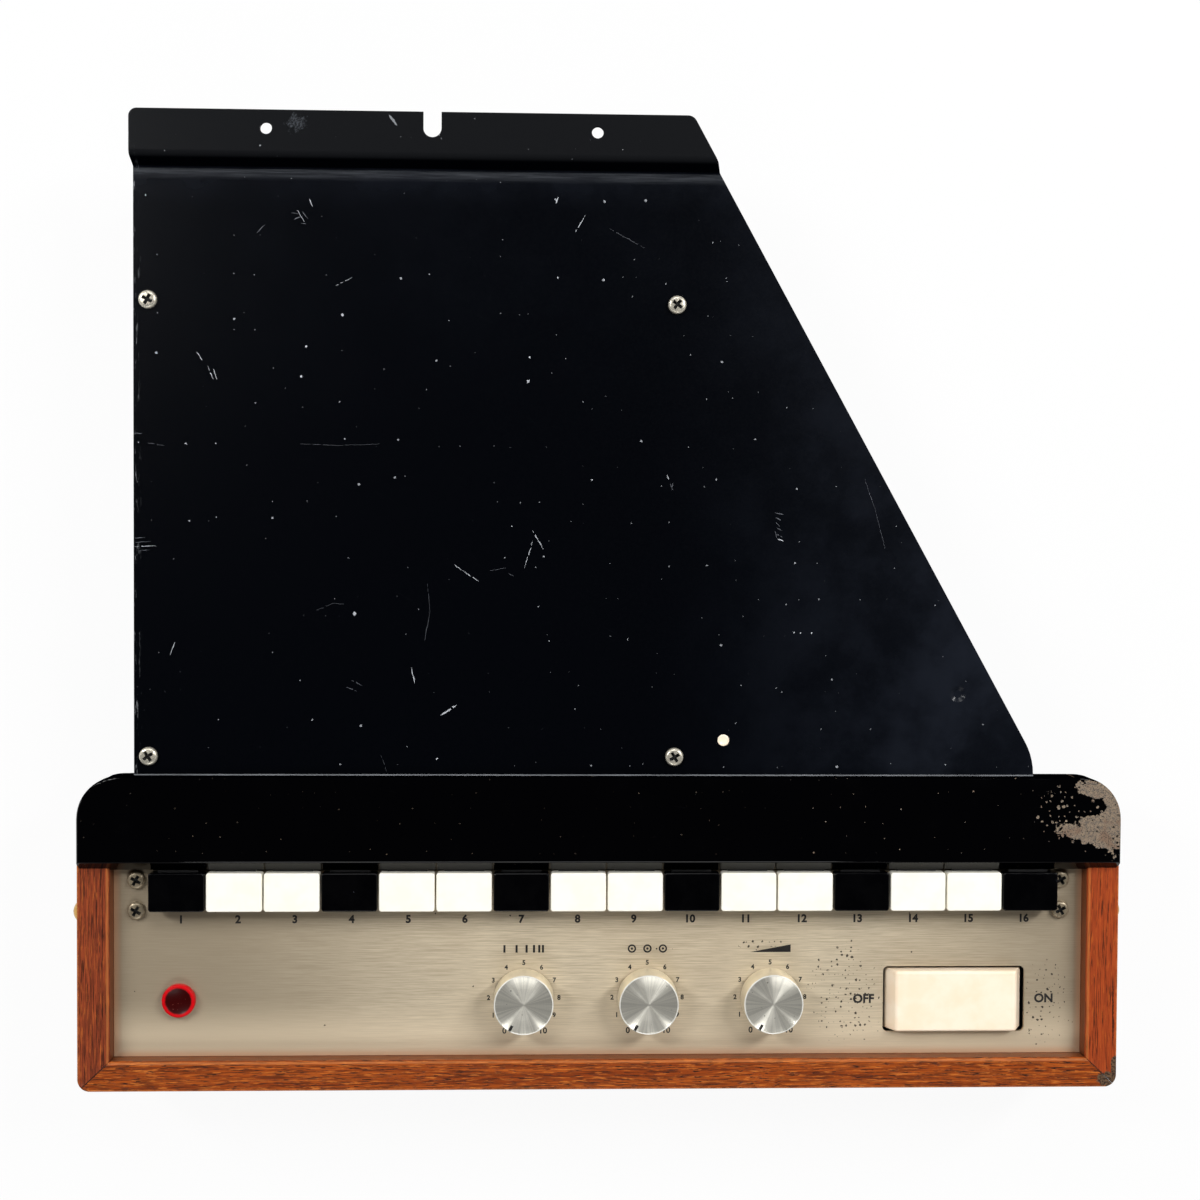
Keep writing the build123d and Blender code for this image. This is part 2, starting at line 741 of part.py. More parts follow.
with BuildPart() as key_cover:
    cover_body(0)
    fillet(key_cover.edges().group_by(Axis.Z)[-1], radius=cover_edge_round)
    add(cover_hollow.part, mode=Mode.SUBTRACT)
    # room for the wood, the keys and the deck
    for side in (-1, 1):
        inner = side * (tray_half - fit_gap)
        outer = side * head_width
        block(
            min(inner, outer), max(inner, outer), front_y, cover_back_y,
            skirt_bottom, wood_top, mode=Mode.SUBTRACT,
        )
    block(
        -tray_half, tray_half, front_y, tray_back_y - fit_gap,
        skirt_bottom, apron_bottom, mode=Mode.SUBTRACT,
    )
    block(
        -deck_left - fit_gap, deck_right + fit_gap, tray_back_y - 2 * fit_gap, cover_back_y,
        skirt_bottom, deck_top, mode=Mode.SUBTRACT,
    )
key_cover.part.label = "key_cover"
export_step(key_cover.part, "parts/key_cover.step")


# ================================================================ face panel
with BuildPart() as face_panel:
    block(
        -tray_half + fit_gap, tray_half - fit_gap,
        tray_front_y + fit_gap, apron_front_y + panel_lap, panel_under, panel_height,
    )
    panel_face = Plane.XY.offset(panel_height)
    holes(panel_face, panel_screw_points, screw_shank_radius + hole_gap, -panel_sheet)
    holes(panel_face, [(x, knob_y) for x in knob_xs], bush_radius + fit_gap, -panel_sheet)
    holes(panel_face, [(lamp_x, lamp_y)], lamp_stem_radius + fit_gap, -panel_sheet)
    with BuildSketch(panel_face):
        with Locations((rocker_x, rocker_y)):
            RectangleRounded(rocker_cut_width, rocker_cut_depth, rocker_cut_radius)
    extrude(amount=-panel_sheet, mode=Mode.SUBTRACT)
face_panel.part.label = "face_panel"
export_step(face_panel.part, "parts/face_panel.step")


# ================================================================ rhythm keys
lug_y0 = pivot_y - lug_front - lug_length / 2
lug_y1 = pivot_y - lug_front + lug_length / 2
hub_width = key_pitch - hub_space

for index, x in enumerate(key_xs):
    with BuildPart() as key:
        block(
            x - key_width / 2, x + key_width / 2,
            key_front_y, key_back_y, key_top - key_cap_height, key_top,
        )
        fillet(key.edges().filter_by(Axis.Z), radius=key_corner)
        fillet(key.edges().group_by(Axis.Z)[-1], radius=key_edge_round)
        block(
            x - key_width / 2 + shank_inset, x + key_width / 2 - shank_inset,
            key_back_y - shank_joint, pivot_y, shank_top - shank_height, shank_top,
        )
        hub_side = Plane.right.offset(x - hub_width / 2)
        pins(hub_side, [(pivot_y, pivot_z)], hub_radius, hub_width)
        block(
            x - tail_width / 2, x + tail_width / 2,
            pivot_y, pivot_y + tail_length, pivot_z - tail_height / 2, pivot_z + tail_height / 2,
        )
        block(
            x - lug_width / 2, x + lug_width / 2,
            lug_y0, lug_y1, pivot_z - lug_drop, shank_top - shank_height / 2,
        )
        holes(hub_side, [(pivot_y, pivot_z)], pivot_radius + shaft_gap, hub_width)
    key.part.label = f"key_{index + 1:02d}"
    export_step(key.part, f"parts/key_{index + 1:02d}.step")


# ================================================================ key bracket
lug_swing = lug_drop * sin(radians(key_travel)) + lug_clearance
lug_window_y0 = lug_y0 - latch_play
lug_window_y1 = lug_y1 + lug_swing + latch_play
bracket_y0 = pivot_y - bracket_front
bracket_y1 = pivot_y + bracket_back
bracket_foot_y = notch_y - tray_sheet - bracket_notch_gap
ear_xs = [
    (key_xs[i - 1] + key_xs[i]) / 2 for i in range(ear_every, key_count, ear_every)
]

with BuildPart() as key_bracket:
    block(-bracket_half, bracket_half, bracket_y0, bracket_y1, shelf_under, shelf_top)
    for x in (-bracket_half, bracket_half - bracket_sheet):
        block(x, x + bracket_sheet, bracket_y0, bracket_y1, shelf_under, stop_rail_top)
        block(x, x + bracket_sheet, bracket_y0, bracket_foot_y, tray_sheet, shelf_under)
    block(
        -bracket_half, bracket_half, bracket_y0, bracket_y0 + stop_rail_width,
        stop_rail_under, stop_rail_top,
    )
    for x in ear_xs:
        block(
            x - bracket_sheet / 2, x + bracket_sheet / 2,
            pivot_y - hub_radius, pivot_y + hub_radius, shelf_top, pivot_z,
        )
        pins(Plane.right.offset(x - bracket_sheet / 2), [(pivot_y, pivot_z)], hub_radius, bracket_sheet)
    with BuildSketch(Plane.XY.offset(shelf_top)):
        for x in key_xs:
            with Locations((x, (lug_window_y0 + lug_window_y1) / 2)):
                Rectangle(lug_width + 2 * latch_play, lug_window_y1 - lug_window_y0)
    extrude(amount=-bracket_sheet, mode=Mode.SUBTRACT)
    holes(
        Plane.right.offset(-bracket_half), [(pivot_y, pivot_z)],
        pivot_radius + shaft_gap, 2 * bracket_half,
    )
key_bracket.part.label = "key_bracket"
export_step(key_bracket.part, "parts/key_bracket.step")

with BuildPart() as key_pivot_rod:
    rod_half = bracket_half + rod_reach
    pins(Plane.right.offset(-rod_half), [(pivot_y, pivot_z)], pivot_radius, 2 * rod_half)
    chamfer(key_pivot_rod.edges(), length=rod_chamfer)
key_pivot_rod.part.label = "key_pivot_rod"
export_step(key_pivot_rod.part, "parts/key_pivot_rod.step")

with BuildPart() as key_rest_felt:
    block(
        -bracket_half + bracket_sheet, bracket_half - bracket_sheet,
        bracket_y0, bracket_y0 + stop_rail_width, shank_top + rest_gap, stop_rail_under,
    )
key_rest_felt.part.label = "key_rest_felt"
export_step(key_rest_felt.part, "parts/key_rest_felt.step")

# coil springs that pull the tails down, drawn as thin sleeves
spring_top = pivot_z - tail_height / 2 - spring_gap
with BuildPart() as key_springs:
    spring_points = [(x, pivot_y + spring_behind) for x in key_xs]
    pins(Plane.XY.offset(shelf_top), spring_points, spring_radius, spring_top - shelf_top)
    holes(
        Plane.XY.offset(shelf_top), spring_points,
        spring_radius - spring_wire, spring_top - shelf_top,
    )
key_springs.part.label = "key_springs"
export_step(key_springs.part, "parts/key_springs.step")


# ================================================================ latch bar
latch_z0 = shelf_top + latch_gap
latch_z1 = latch_z0 + latch_sheet
latch_y0 = pivot_y - latch_front
latch_y1 = pivot_y - latch_back

with BuildPart() as latch_bar:
    block(-latch_half, latch_half - latch_travel, latch_y0, latch_y1, latch_z0, latch_z1)
    with BuildSketch(Plane.XY.offset(latch_z1)):
        for x in key_xs:
            with Locations((x - latch_travel / 2, (lug_window_y0 + lug_window_y1) / 2)):
                Rectangle(
                    lug_width + 2 * latch_play + latch_travel, lug_window_y1 - lug_window_y0
                )
    extrude(amount=-latch_sheet, mode=Mode.SUBTRACT)
    # upright tab for the return spring
    block(
        -latch_half, -latch_half + latch_sheet, latch_y0, latch_y1,
        latch_z1, latch_z1 + latch_tab,
    )
latch_bar.part.label = "latch_bar"
export_step(latch_bar.part, "parts/latch_bar.step")

latch_spring_z = latch_z1 + latch_tab / 2
with BuildPart() as latch_spring:
    spring_start = -bracket_half + bracket_sheet
    spring_length = -latch_half - spring_gap - spring_start
    center = ((latch_y0 + latch_y1) / 2, latch_spring_z)
    pins(Plane.right.offset(spring_start), [center], spring_radius, spring_length)
    holes(Plane.right.offset(spring_start), [center], spring_radius - spring_wire, spring_length)
latch_spring.part.label = "latch_spring"
export_step(latch_spring.part, "parts/latch_spring.step")


# ================================================================ key switches
contact_y0 = pivot_y - contact_front
contact_y1 = contact_y0 + contact_length

with BuildPart() as switch_board:
    block(
        key_xs[0] - key_width / 2, key_xs[-1] + key_width / 2,
        bracket_y0, contact_y1 + contact_margin,
        switch_board_top - board_sheet, switch_board_top,
    )
switch_board.part.label = "switch_board"
export_step(switch_board.part, "parts/switch_board.step")

with BuildPart() as key_contacts:
    for x in key_xs:
        block(
            x - contact_width / 2, x + contact_width / 2,
            contact_y0, contact_y1, switch_board_top, shelf_under,
        )
        for level in (0, 1):
            blade_z = shelf_under - blade_drop - level * (blade_sheet + blade_spacing)
            block(
                x - blade_width / 2, x + blade_width / 2,
                contact_y0 - blade_length, contact_y0, blade_z - blade_sheet, blade_z,
            )
key_contacts.part.label = "key_contacts"
export_step(key_contacts.part, "parts/key_contacts.step")


# ================================================================ knobs and potentiometers
knob_z0 = panel_height + knob_float
knob_z1 = panel_height + knob_height
shaft_z0 = panel_height - shaft_tail
shaft_z1 = panel_height + shaft_reach

for name, x in zip(knob_names, knob_xs):
    turn_axis = Axis((x, knob_y, 0), (0, 0, 1))
    with BuildPart() as knob:
        with BuildSketch(upright(x, knob_y)):
            with BuildLine():
                Polyline(
                    (0, knob_z1 - knob_dish),
                    (knob_face_radius - knob_rim, knob_z1 - knob_dish),
                    (knob_face_radius - knob_rim, knob_z1),
                    (knob_face_radius - knob_edge, knob_z1),
                    (knob_face_radius, knob_z1 - knob_edge),
                    (knob_radius, knob_z0),
                    (knob_recess_radius, knob_z0),
                    (knob_recess_radius, knob_z0 + knob_recess),
                    (shaft_radius + press_gap, knob_z0 + knob_recess),
                    (shaft_radius + press_gap, shaft_z1),
                    (0, shaft_z1),
                    close=True,
                )
            make_face()
        revolve(axis=turn_axis)
        with BuildSketch(Plane.XY.offset(knob_z1)):
            with Locations(Location((x, knob_y, 0), (0, 0, mark_angle))):
                with Locations((mark_inner, 0)):
                    Rectangle(knob_radius, mark_width, align=(Align.MIN, Align.CENTER))
        extrude(amount=-(knob_dish + mark_depth), mode=Mode.SUBTRACT)
    knob.part.label = f"{name}_knob"
    export_step(knob.part, f"parts/{name}_knob.step")

    with BuildPart() as shaft:
        pins(Plane.XY.offset(shaft_z0), [(x, knob_y)], shaft_radius, shaft_z1 - shaft_z0)
    shaft.part.label = f"{name}_shaft"
    export_step(shaft.part, f"parts/{name}_shaft.step")

    with BuildPart() as pot:
        pins(Plane.XY.offset(panel_under), [(x, knob_y)], pot_radius, -pot_length)
        fillet(pot.edges().group_by(Axis.Z)[0], radius=can_round)
        pins(
            Plane.XY.offset(panel_under), [(x, knob_y)],
            bush_radius, panel_sheet + bush_reach,
        )
        tag_z = panel_under - pot_length / 2
        for step in (-1, 0, 1):
            tag_x = x + step * pot_tag_pitch
            block(
                tag_x - pot_tag_width / 2, tag_x + pot_tag_width / 2,
                knob_y - pot_radius - pot_tag_length, knob_y - pot_radius / 2,
                tag_z - pot_tag_sheet, tag_z,
            )
        holes(
            Plane.XY.offset(panel_height + bush_reach), [(x, knob_y)],
            shaft_radius + shaft_gap, -(bush_reach + shaft_tail + shaft_gap),
        )
    pot.part.label = f"{name}_pot"
    export_step(pot.part, f"parts/{name}_pot.step")

with BuildPart() as pot_nuts:
    with BuildSketch(Plane.XY.offset(panel_height)):
        for x in knob_xs:
            with Locations((x, knob_y)):
                RegularPolygon(radius=nut_across / 2, side_count=6, major_radius=False)
                Circle(bush_radius + press_gap, mode=Mode.SUBTRACT)
    extrude(amount=nut_height)
pot_nuts.part.label = "pot_nuts"
export_step(pot_nuts.part, "parts/pot_nuts.step")


# ================================================================ start rocker
rocker_plane = Plane(origin=(rocker_x, rocker_y, rocker_z), x_dir=(1, 0, 0), z_dir=(0, -1, 0))


def rocker_outline(inset):
    """The rocker from the front: a flat face, flared ends and a straight skirt."""
    with BuildLine() as outline:
        Polyline(
            (-rocker_waist_half + inset, -rocker_skirt),
            (-rocker_waist_half + inset, rocker_waist_rise),
            (-rocker_face_half + inset, rocker_face_rise - inset),
            (rocker_face_half - inset, rocker_face_rise - inset),
            (rocker_waist_half - inset, rocker_waist_rise),
            (rocker_waist_half - inset, -rocker_skirt),
            close=True,
        )
    make_face(outline.edges())


with BuildPart() as start_rocker:
    with BuildSketch(rocker_plane):
        rocker_outline(0)
    extrude(amount=rocker_width / 2, both=True)
    face_edges = start_rocker.faces().sort_by(Axis((0, 0, 0), rocker_plane.y_dir))[-1].edges()
    fillet(face_edges, radius=rocker_round)
    with BuildSketch(rocker_plane):
        rocker_outline(rocker_wall)
    extrude(amount=rocker_width / 2 - rocker_wall, both=True, mode=Mode.SUBTRACT)
    with BuildSketch(rocker_plane):
        with Locations((0, -rocker_skirt - rocker_nib)):
            Rectangle(
                2 * trunnion_radius, rocker_face_rise + rocker_skirt + rocker_nib - rocker_wall / 2,
                align=(Align.CENTER, Align.MIN),
            )
    extrude(amount=rocker_nib, both=True)
    with BuildSketch(rocker_plane):
        Circle(trunnion_radius)
    extrude(amount=rocker_width / 2 + trunnion_length, both=True)
start_rocker.part.label = "start_rocker"
export_step(start_rocker.part, "parts/start_rocker.step")

cavity_x = rocker_cut_width / 2 + housing_gap
cavity_y = rocker_cut_depth / 2 + housing_gap
with BuildPart() as rocker_housing:
    block(
        rocker_x - cavity_x - housing_wall, rocker_x + cavity_x + housing_wall,
        rocker_y - cavity_y - housing_wall, rocker_y + cavity_y + housing_wall,
        panel_under - housing_depth, panel_under,
    )
    block(
        rocker_x - cavity_x, rocker_x + cavity_x, rocker_y - cavity_y, rocker_y + cavity_y,
        panel_under - housing_depth + housing_floor, panel_under, mode=Mode.SUBTRACT,
    )
    holes(
        Plane.back.offset(rocker_y - cavity_y - housing_wall), [(-rocker_x, rocker_z)],
        trunnion_radius + shaft_gap, 2 * (cavity_y + housing_wall),
    )
    for step in (-1, 0, 1):
        tag_x = rocker_x + step * housing_tag_pitch
        block(
            tag_x - pot_tag_sheet / 2, tag_x + pot_tag_sheet / 2,
            rocker_y - pot_tag_width, rocker_y + pot_tag_width,
            panel_under - housing_depth - pot_tag_length, panel_under - housing_depth,
        )
rocker_housing.part.label = "rocker_housing"
export_step(rocker_housing.part, "parts/rocker_housing.step")


# ================================================================ lamp
lamp_axis = Axis((lamp_x, lamp_y, 0), (0, 0, 1))
lens_top = panel_height + lamp_rise
stem_end = panel_height - lamp_stem
with BuildPart() as lamp_lens:
    with BuildSketch(upright(lamp_x, lamp_y)) as lens_profile:
        with BuildLine():
            Polyline(
                (0, lens_top - lamp_dish),
                (lamp_dish_radius, lens_top),
                (lamp_radius, lens_top),
                (lamp_radius, panel_height),
                (lamp_stem_radius, panel_height),
                (lamp_stem_radius, stem_end),
                (lamp_pocket_radius, stem_end),
                (lamp_pocket_radius, panel_under),
                (0, panel_under),
                close=True,
            )
        make_face()
        fillet(near(lens_profile, (lamp_radius, lens_top)), radius=lamp_edge)
    revolve(axis=lamp_axis)
lamp_lens.part.label = "lamp_lens"
export_step(lamp_lens.part, "parts/lamp_lens.step")

holder_radius = lamp_stem_radius + fit_gap + holder_wall
holder_z0 = panel_under - holder_length
with BuildPart() as lamp_holder:
    pins(Plane.XY.offset(holder_z0), [(lamp_x, lamp_y)], holder_radius, holder_length)
    holes(
        Plane.XY.offset(holder_z0 + socket_floor), [(lamp_x, lamp_y)],
        lamp_stem_radius + fit_gap, holder_length - socket_floor,
    )
    holes(Plane.XY.offset(holder_z0), [(lamp_x, lamp_y)], bulb_cap_radius + fit_gap, socket_floor)
lamp_holder.part.label = "lamp_holder"
export_step(lamp_holder.part, "parts/lamp_holder.step")

bulb_z0 = holder_z0 - socket_floor
with BuildPart() as lamp_bulb:
    pins(Plane.XY.offset(bulb_z0), [(lamp_x, lamp_y)], bulb_cap_radius, bulb_cap_length)
    pins(
        Plane.XY.offset(bulb_z0 + bulb_cap_length), [(lamp_x, lamp_y)],
        bulb_radius, bulb_length,
    )
    fillet(lamp_bulb.edges().group_by(Axis.Z)[-1], radius=bulb_round)
lamp_bulb.part.label = "lamp_bulb"
export_step(lamp_bulb.part, "parts/lamp_bulb.step")


# ================================================================ main board and its parts
with BuildPart() as main_board:
    block(
        main_board_x0, main_board_x0 + main_board_width,
        main_board_y0, main_board_y0 + main_board_length, main_board_height, main_board_top,
    )
    holes(Plane.XY.offset(main_board_top), standoff_points, stud_radius + hole_gap, -board_sheet)
main_board.part.label = "main_board"
export_step(main_board.part, "parts/main_board.step")

with BuildPart() as board_standoffs:
    pins(
        Plane.XY.offset(chassis_sheet), standoff_points,
        standoff_radius, main_board_height - chassis_sheet,
    )
    pins(
        Plane.XY.offset(main_board_height), standoff_points,
        stud_radius, board_sheet + stud_reach,
    )
board_standoffs.part.label = "board_standoffs"
export_step(board_standoffs.part, "parts/board_standoffs.step")

part_columns = int((main_board_width - 2 * part_pitch_x) / part_pitch_x) + 1
part_rows = int((main_board_length - 2 * part_pitch_y) / part_pitch_y) + 1
part_points = [
    (main_board_x0 + part_pitch_x * (i + 1), main_board_y0 + part_pitch_y * (j + 1))
    for i in range(part_columns)
    for j in range(part_rows)
]
board_face = Plane.XY.offset(main_board_top)

with BuildPart() as board_capacitors:
    pins(board_face, part_points[::3], capacitor_radius, capacitor_height)
    fillet(board_capacitors.edges().group_by(Axis.Z)[-1], radius=can_round)
board_capacitors.part.label = "board_capacitors"
export_step(board_capacitors.part, "parts/board_capacitors.step")

with BuildPart() as board_parts:
    pins(board_face, part_points[1::3], can_radius, can_height)
    for x, y in part_points[2::3]:
        for step in (-1, 1):
            pins(
                Plane.right.offset(x - resistor_length / 2),
                [(y + step * 2 * resistor_radius, main_board_top + resistor_radius)],
                resistor_radius, resistor_length,
            )
board_parts.part.label = "board_parts"
export_step(board_parts.part, "parts/board_parts.step")

core_y0 = chassis_y0 + transformer_front
core_y1 = core_y0 + transformer_length
coil_mid_y = (core_y0 + core_y1) / 2
coil_mid_z = chassis_sheet + transformer_height / 2
with BuildPart() as transformer:
    block(
        core_x0 - coil_bulge, core_x1 + coil_bulge,
        coil_mid_y - coil_length / 2, coil_mid_y + coil_length / 2,
        coil_mid_z - coil_height / 2, coil_mid_z + coil_height / 2,
    )
    fillet(transformer.edges().filter_by(Axis.Y), radius=coil_bulge / 2)
    block(core_x0, core_x1, core_y0, core_y1, chassis_sheet, chassis_sheet + transformer_height)
transformer.part.label = "transformer"
export_step(transformer.part, "parts/transformer.step")


# ================================================================ rear fittings
rear_face = Plane.back.offset(chassis_y1)
rear_inside = Plane.back.offset(chassis_y1 - chassis_sheet)
jack_point = (-jack_x, rear_fitting_height)
fuse_point = (-fuse_x, rear_fitting_height)
grommet_point = (-grommet_x, rear_fitting_height)

with BuildPart() as output_jack:
    pins(rear_inside, [jack_point], jack_thread_radius, chassis_sheet + jack_thread_reach)
    pins(rear_inside, [jack_point], jack_body_radius, -jack_body_length)
    with BuildSketch(rear_face):
        with Locations(jack_point):
            RegularPolygon(radius=nut_across / 2, side_count=6, major_radius=False)
    extrude(amount=nut_height)
    holes(rear_face.offset(jack_thread_reach), [jack_point], jack_bore_radius, -jack_bore_length)
output_jack.part.label = "output_jack"
export_step(output_jack.part, "parts/output_jack.step")

with BuildPart() as fuse_holder:
    pins(rear_inside, [fuse_point], fuse_neck_radius, chassis_sheet)
    pins(rear_inside, [fuse_point], fuse_body_radius, -fuse_body_length)
    pins(rear_face, [fuse_point], fuse_cap_radius, fuse_cap_length)
    fillet(fuse_holder.edges().group_by(Axis.Y)[-1], radius=fitting_round)
    with BuildSketch(rear_face.offset(fuse_cap_length)):
        with Locations(fuse_point):
            Rectangle(2 * fuse_cap_radius, fuse_slot)
    extrude(amount=-fuse_slot, mode=Mode.SUBTRACT)
fuse_holder.part.label = "fuse_holder"
export_step(fuse_holder.part, "parts/fuse_holder.step")

with BuildPart() as cord_grommet:
    pins(rear_inside, [grommet_point], grommet_neck_radius, chassis_sheet)
    pins(rear_face, [grommet_point], grommet_collar_radius, grommet_collar)
    fillet(cord_grommet.edges().group_by(Axis.Y)[-1], radius=fitting_round)
    pins(rear_inside, [grommet_point], grommet_collar_radius, -grommet_collar)
    holes(
        rear_face.offset(grommet_collar), [grommet_point],
        grommet_bore_radius, -(2 * grommet_collar + chassis_sheet),
    )
cord_grommet.part.label = "cord_grommet"
export_step(cord_grommet.part, "parts/cord_grommet.step")


# ================================================================ screws
with BuildPart() as panel_screws:
    cross_screws(Plane.XY.offset(panel_height), panel_screw_points, panel_screw_head)
panel_screws.part.label = "panel_screws"
export_step(panel_screws.part, "parts/panel_screws.step")

with BuildPart() as cover_screws:
    cross_screws(Plane.XY.offset(deck_top), cover_screw_points, cover_screw_head)
cover_screws.part.label = "cover_screws"
export_step(cover_screws.part, "parts/cover_screws.step")

with BuildPart() as tray_screws:
    cross_screws(
        Plane.back.offset(chassis_y0 + chassis_sheet), tray_screw_points, cover_screw_head
    )
tray_screws.part.label = "tray_screws"
export_step(tray_screws.part, "parts/tray_screws.step")

dome_sphere = (cheek_screw_radius**2 + cheek_screw_dome**2) / (2 * cheek_screw_dome)
dome_y, dome_z = cheek_screw_point

with BuildPart() as cheek_screw:
    with BuildSketch(Plane.XY.offset(dome_z)):
        with BuildLine():
            rise = CenterArc(
                (wood_half + cheek_screw_dome - dome_sphere, dome_y), dome_sphere,
                0, degrees(asin(cheek_screw_radius / dome_sphere)),
            )
            Polyline(rise @ 1, (wood_half, dome_y), rise @ 0)
        make_face()
    revolve(axis=Axis((0, dome_y, dome_z), (1, 0, 0)))
    pins(
        Plane.right.offset(wood_half), [cheek_screw_point],
        screw_shank_radius, -cheek_screw_length,
    )

with BuildPart() as wood_screws:
    cross_screws(
        Plane.back.offset(tray_front_y + tray_sheet), rail_screw_points, panel_screw_head
    )
    add(cheek_screw.part)
    mirror(cheek_screw.part, about=Plane.YZ)
wood_screws.part.label = "wood_screws"
export_step(wood_screws.part, "parts/wood_screws.step")
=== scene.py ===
from math import cos, hypot, pi, radians, sin
from random import Random

import bmesh
import bpy
from bmesh.types import BMEdge, BMFace, BMVert
from mathutils import Matrix, Vector


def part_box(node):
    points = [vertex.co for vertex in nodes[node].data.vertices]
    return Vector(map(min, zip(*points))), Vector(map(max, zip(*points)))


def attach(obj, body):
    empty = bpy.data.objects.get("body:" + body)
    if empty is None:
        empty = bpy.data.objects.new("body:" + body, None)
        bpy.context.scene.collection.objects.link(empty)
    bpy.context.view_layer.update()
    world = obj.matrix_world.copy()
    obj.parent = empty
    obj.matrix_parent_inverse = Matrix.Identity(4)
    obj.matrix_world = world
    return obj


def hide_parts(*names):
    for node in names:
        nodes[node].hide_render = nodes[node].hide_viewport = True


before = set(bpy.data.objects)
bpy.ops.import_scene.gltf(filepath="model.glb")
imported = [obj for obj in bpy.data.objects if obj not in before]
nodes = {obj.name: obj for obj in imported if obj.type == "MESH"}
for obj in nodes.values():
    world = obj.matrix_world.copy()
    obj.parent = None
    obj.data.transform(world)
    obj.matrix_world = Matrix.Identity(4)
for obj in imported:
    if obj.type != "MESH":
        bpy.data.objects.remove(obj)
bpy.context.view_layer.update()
mm = 0.001  # pieces are drawn in millimetres and scaled once when they are finished


def boxOf(name):
    low, high = [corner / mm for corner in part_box(name)]
    return low, high, (low + high) / 2


# levels and edges that the finishes and the pieces are set out from

screwRise = 2.0  # a screw head above the sheet it holds
panelTop = boxOf("face_panel")[1].z
deckTop = boxOf("cover_screws")[1].z - screwRise
sideLow, sideHigh, _ = boxOf("left_cheek")
railLow, railHigh, _ = boxOf("front_rail")
woodTop = railHigh.z
woodOutside = (-sideLow.x, railLow.y)  # right front corner of the surround, outside and inside
woodInside = (-sideHigh.x, railHigh.y)
firstKey, lastKey = boxOf("key_01"), boxOf("key_16")
capRear = firstKey[0].y + 14.0
keyMiddle = (firstKey[0].x + lastKey[1].x) / 2
keyRowHalf = (lastKey[1].x - firstKey[0].x) / 2
lampLow, lampHigh, lampCentre = boxOf("lamp_lens")


# camera and lights

cameraSettings = {"place": (-0.0272, 0.0234, 0.7430), "turn": (-1.685, -2.101, 0.319), "lens": 55.49}

cameraData = bpy.data.cameras.new("camera")
cameraData.lens = cameraSettings["lens"]
cameraData.sensor_width = 36
camera = bpy.data.objects.new("camera", cameraData)
camera.location = cameraSettings["place"]
camera.rotation_euler = [radians(angle) for angle in cameraSettings["turn"]]
bpy.context.scene.collection.objects.link(camera)
bpy.context.scene.camera = camera
bpy.context.scene.view_settings.view_transform = "Standard"

lightSettings = {
    # azimuth (0 is to the right of the machine, 90 behind it), elevation, distance, size and watts
    "strip_right": (31, 45, 1.5, (0.18, 0.8), 16),
    "strip_left": (151, 45, 1.5, (0.18, 0.8), 11.5),
    "softbox_rear": (93, 48, 1.6, (0.6, 0.5), 5.5),
    "softbox_front": (268, 42, 1.7, (0.8, 0.5), 6),
}

for name, (azimuth, elevation, distance, size, watts) in lightSettings.items():
    data = bpy.data.lights.new(name, "AREA")
    data.shape = "RECTANGLE"
    data.size, data.size_y = size
    data.energy = watts
    light = bpy.data.objects.new(name, data)
    turn, lift = radians(azimuth), radians(elevation)
    light.location = distance * Vector((cos(turn) * cos(lift), sin(turn) * cos(lift), sin(lift)))
    light.rotation_euler = light.location.to_track_quat("Z", "Y").to_euler()
    bpy.context.scene.collection.objects.link(light)


# shader helpers

class Field:
    # a value that changes over a surface: sums and products with it add the math nodes
    def __init__(self, socket):
        self.socket = socket
        self.tree = socket.id_data

    def __add__(self, other):
        return calc("ADD", self, other)

    def __sub__(self, other):
        return calc("SUBTRACT", self, other)

    def __rsub__(self, other):
        return calc("SUBTRACT", other, self)

    def __mul__(self, other):
        return calc("MULTIPLY", self, other)

    def __abs__(self):
        return calc("ABSOLUTE", self)


def addNode(tree, kind, settings=None, inputs=None):
    made = tree.nodes.new(kind)
    for key, value in (settings or {}).items():
        setattr(made, key, value)
    for key, value in (inputs or {}).items():
        if isinstance(value, Field):
            tree.links.new(value.socket, made.inputs[key])
        else:
            made.inputs[key].default_value = value
    return made


def addField(tree, kind, settings=None, inputs=None, output=0):
    return Field(addNode(tree, kind, settings, inputs).outputs[output])


def treeOf(values):
    return next(value.tree for value in values if isinstance(value, Field))


def calc(operation, *values, clamp=False):
    settings = {"operation": operation, "use_clamp": clamp}
    return addField(treeOf(values), "ShaderNodeMath", settings, dict(enumerate(values)))


def vectorCalc(operation, *values, output=0):
    settings = {"operation": operation}
    return addField(treeOf(values), "ShaderNodeVectorMath", settings, dict(enumerate(values)), output)


def strongest(first, *others):
    for other in others:
        first = calc("MAXIMUM", first, other)
    return first


def axesOf(vector):
    parts = addNode(vector.tree, "ShaderNodeSeparateXYZ", None, {0: vector}).outputs
    return [Field(part) for part in parts]


def combined(*parts):
    return addField(treeOf(parts), "ShaderNodeCombineXYZ", None, dict(enumerate(parts)))


def remap(value, low, high, to0=0.0, to1=1.0):
    settings = {"interpolation_type": "SMOOTHSTEP"}
    inputs = {"Value": value, "From Min": low, "From Max": high, "To Min": to0, "To Max": to1}
    return addField(value.tree, "ShaderNodeMapRange", settings, inputs)


def blend(factor, first, second):
    return addField(factor.tree, "ShaderNodeMix", {"data_type": "RGBA"}, {0: factor, 6: first, 7: second}, 2)


def noise(vector, scale, detail=3.0, roughness=0.55, output=0):
    inputs = {"Vector": vector, "Scale": scale, "Detail": detail, "Roughness": roughness}
    return addField(vector.tree, "ShaderNodeTexNoise", None, inputs, output)


def stretched(vector, scale=(1, 1, 1), rotation=(0, 0, 0), location=(0, 0, 0)):
    inputs = {"Vector": vector, "Scale": scale, "Rotation": rotation, "Location": location}
    return addField(vector.tree, "ShaderNodeMapping", None, inputs)


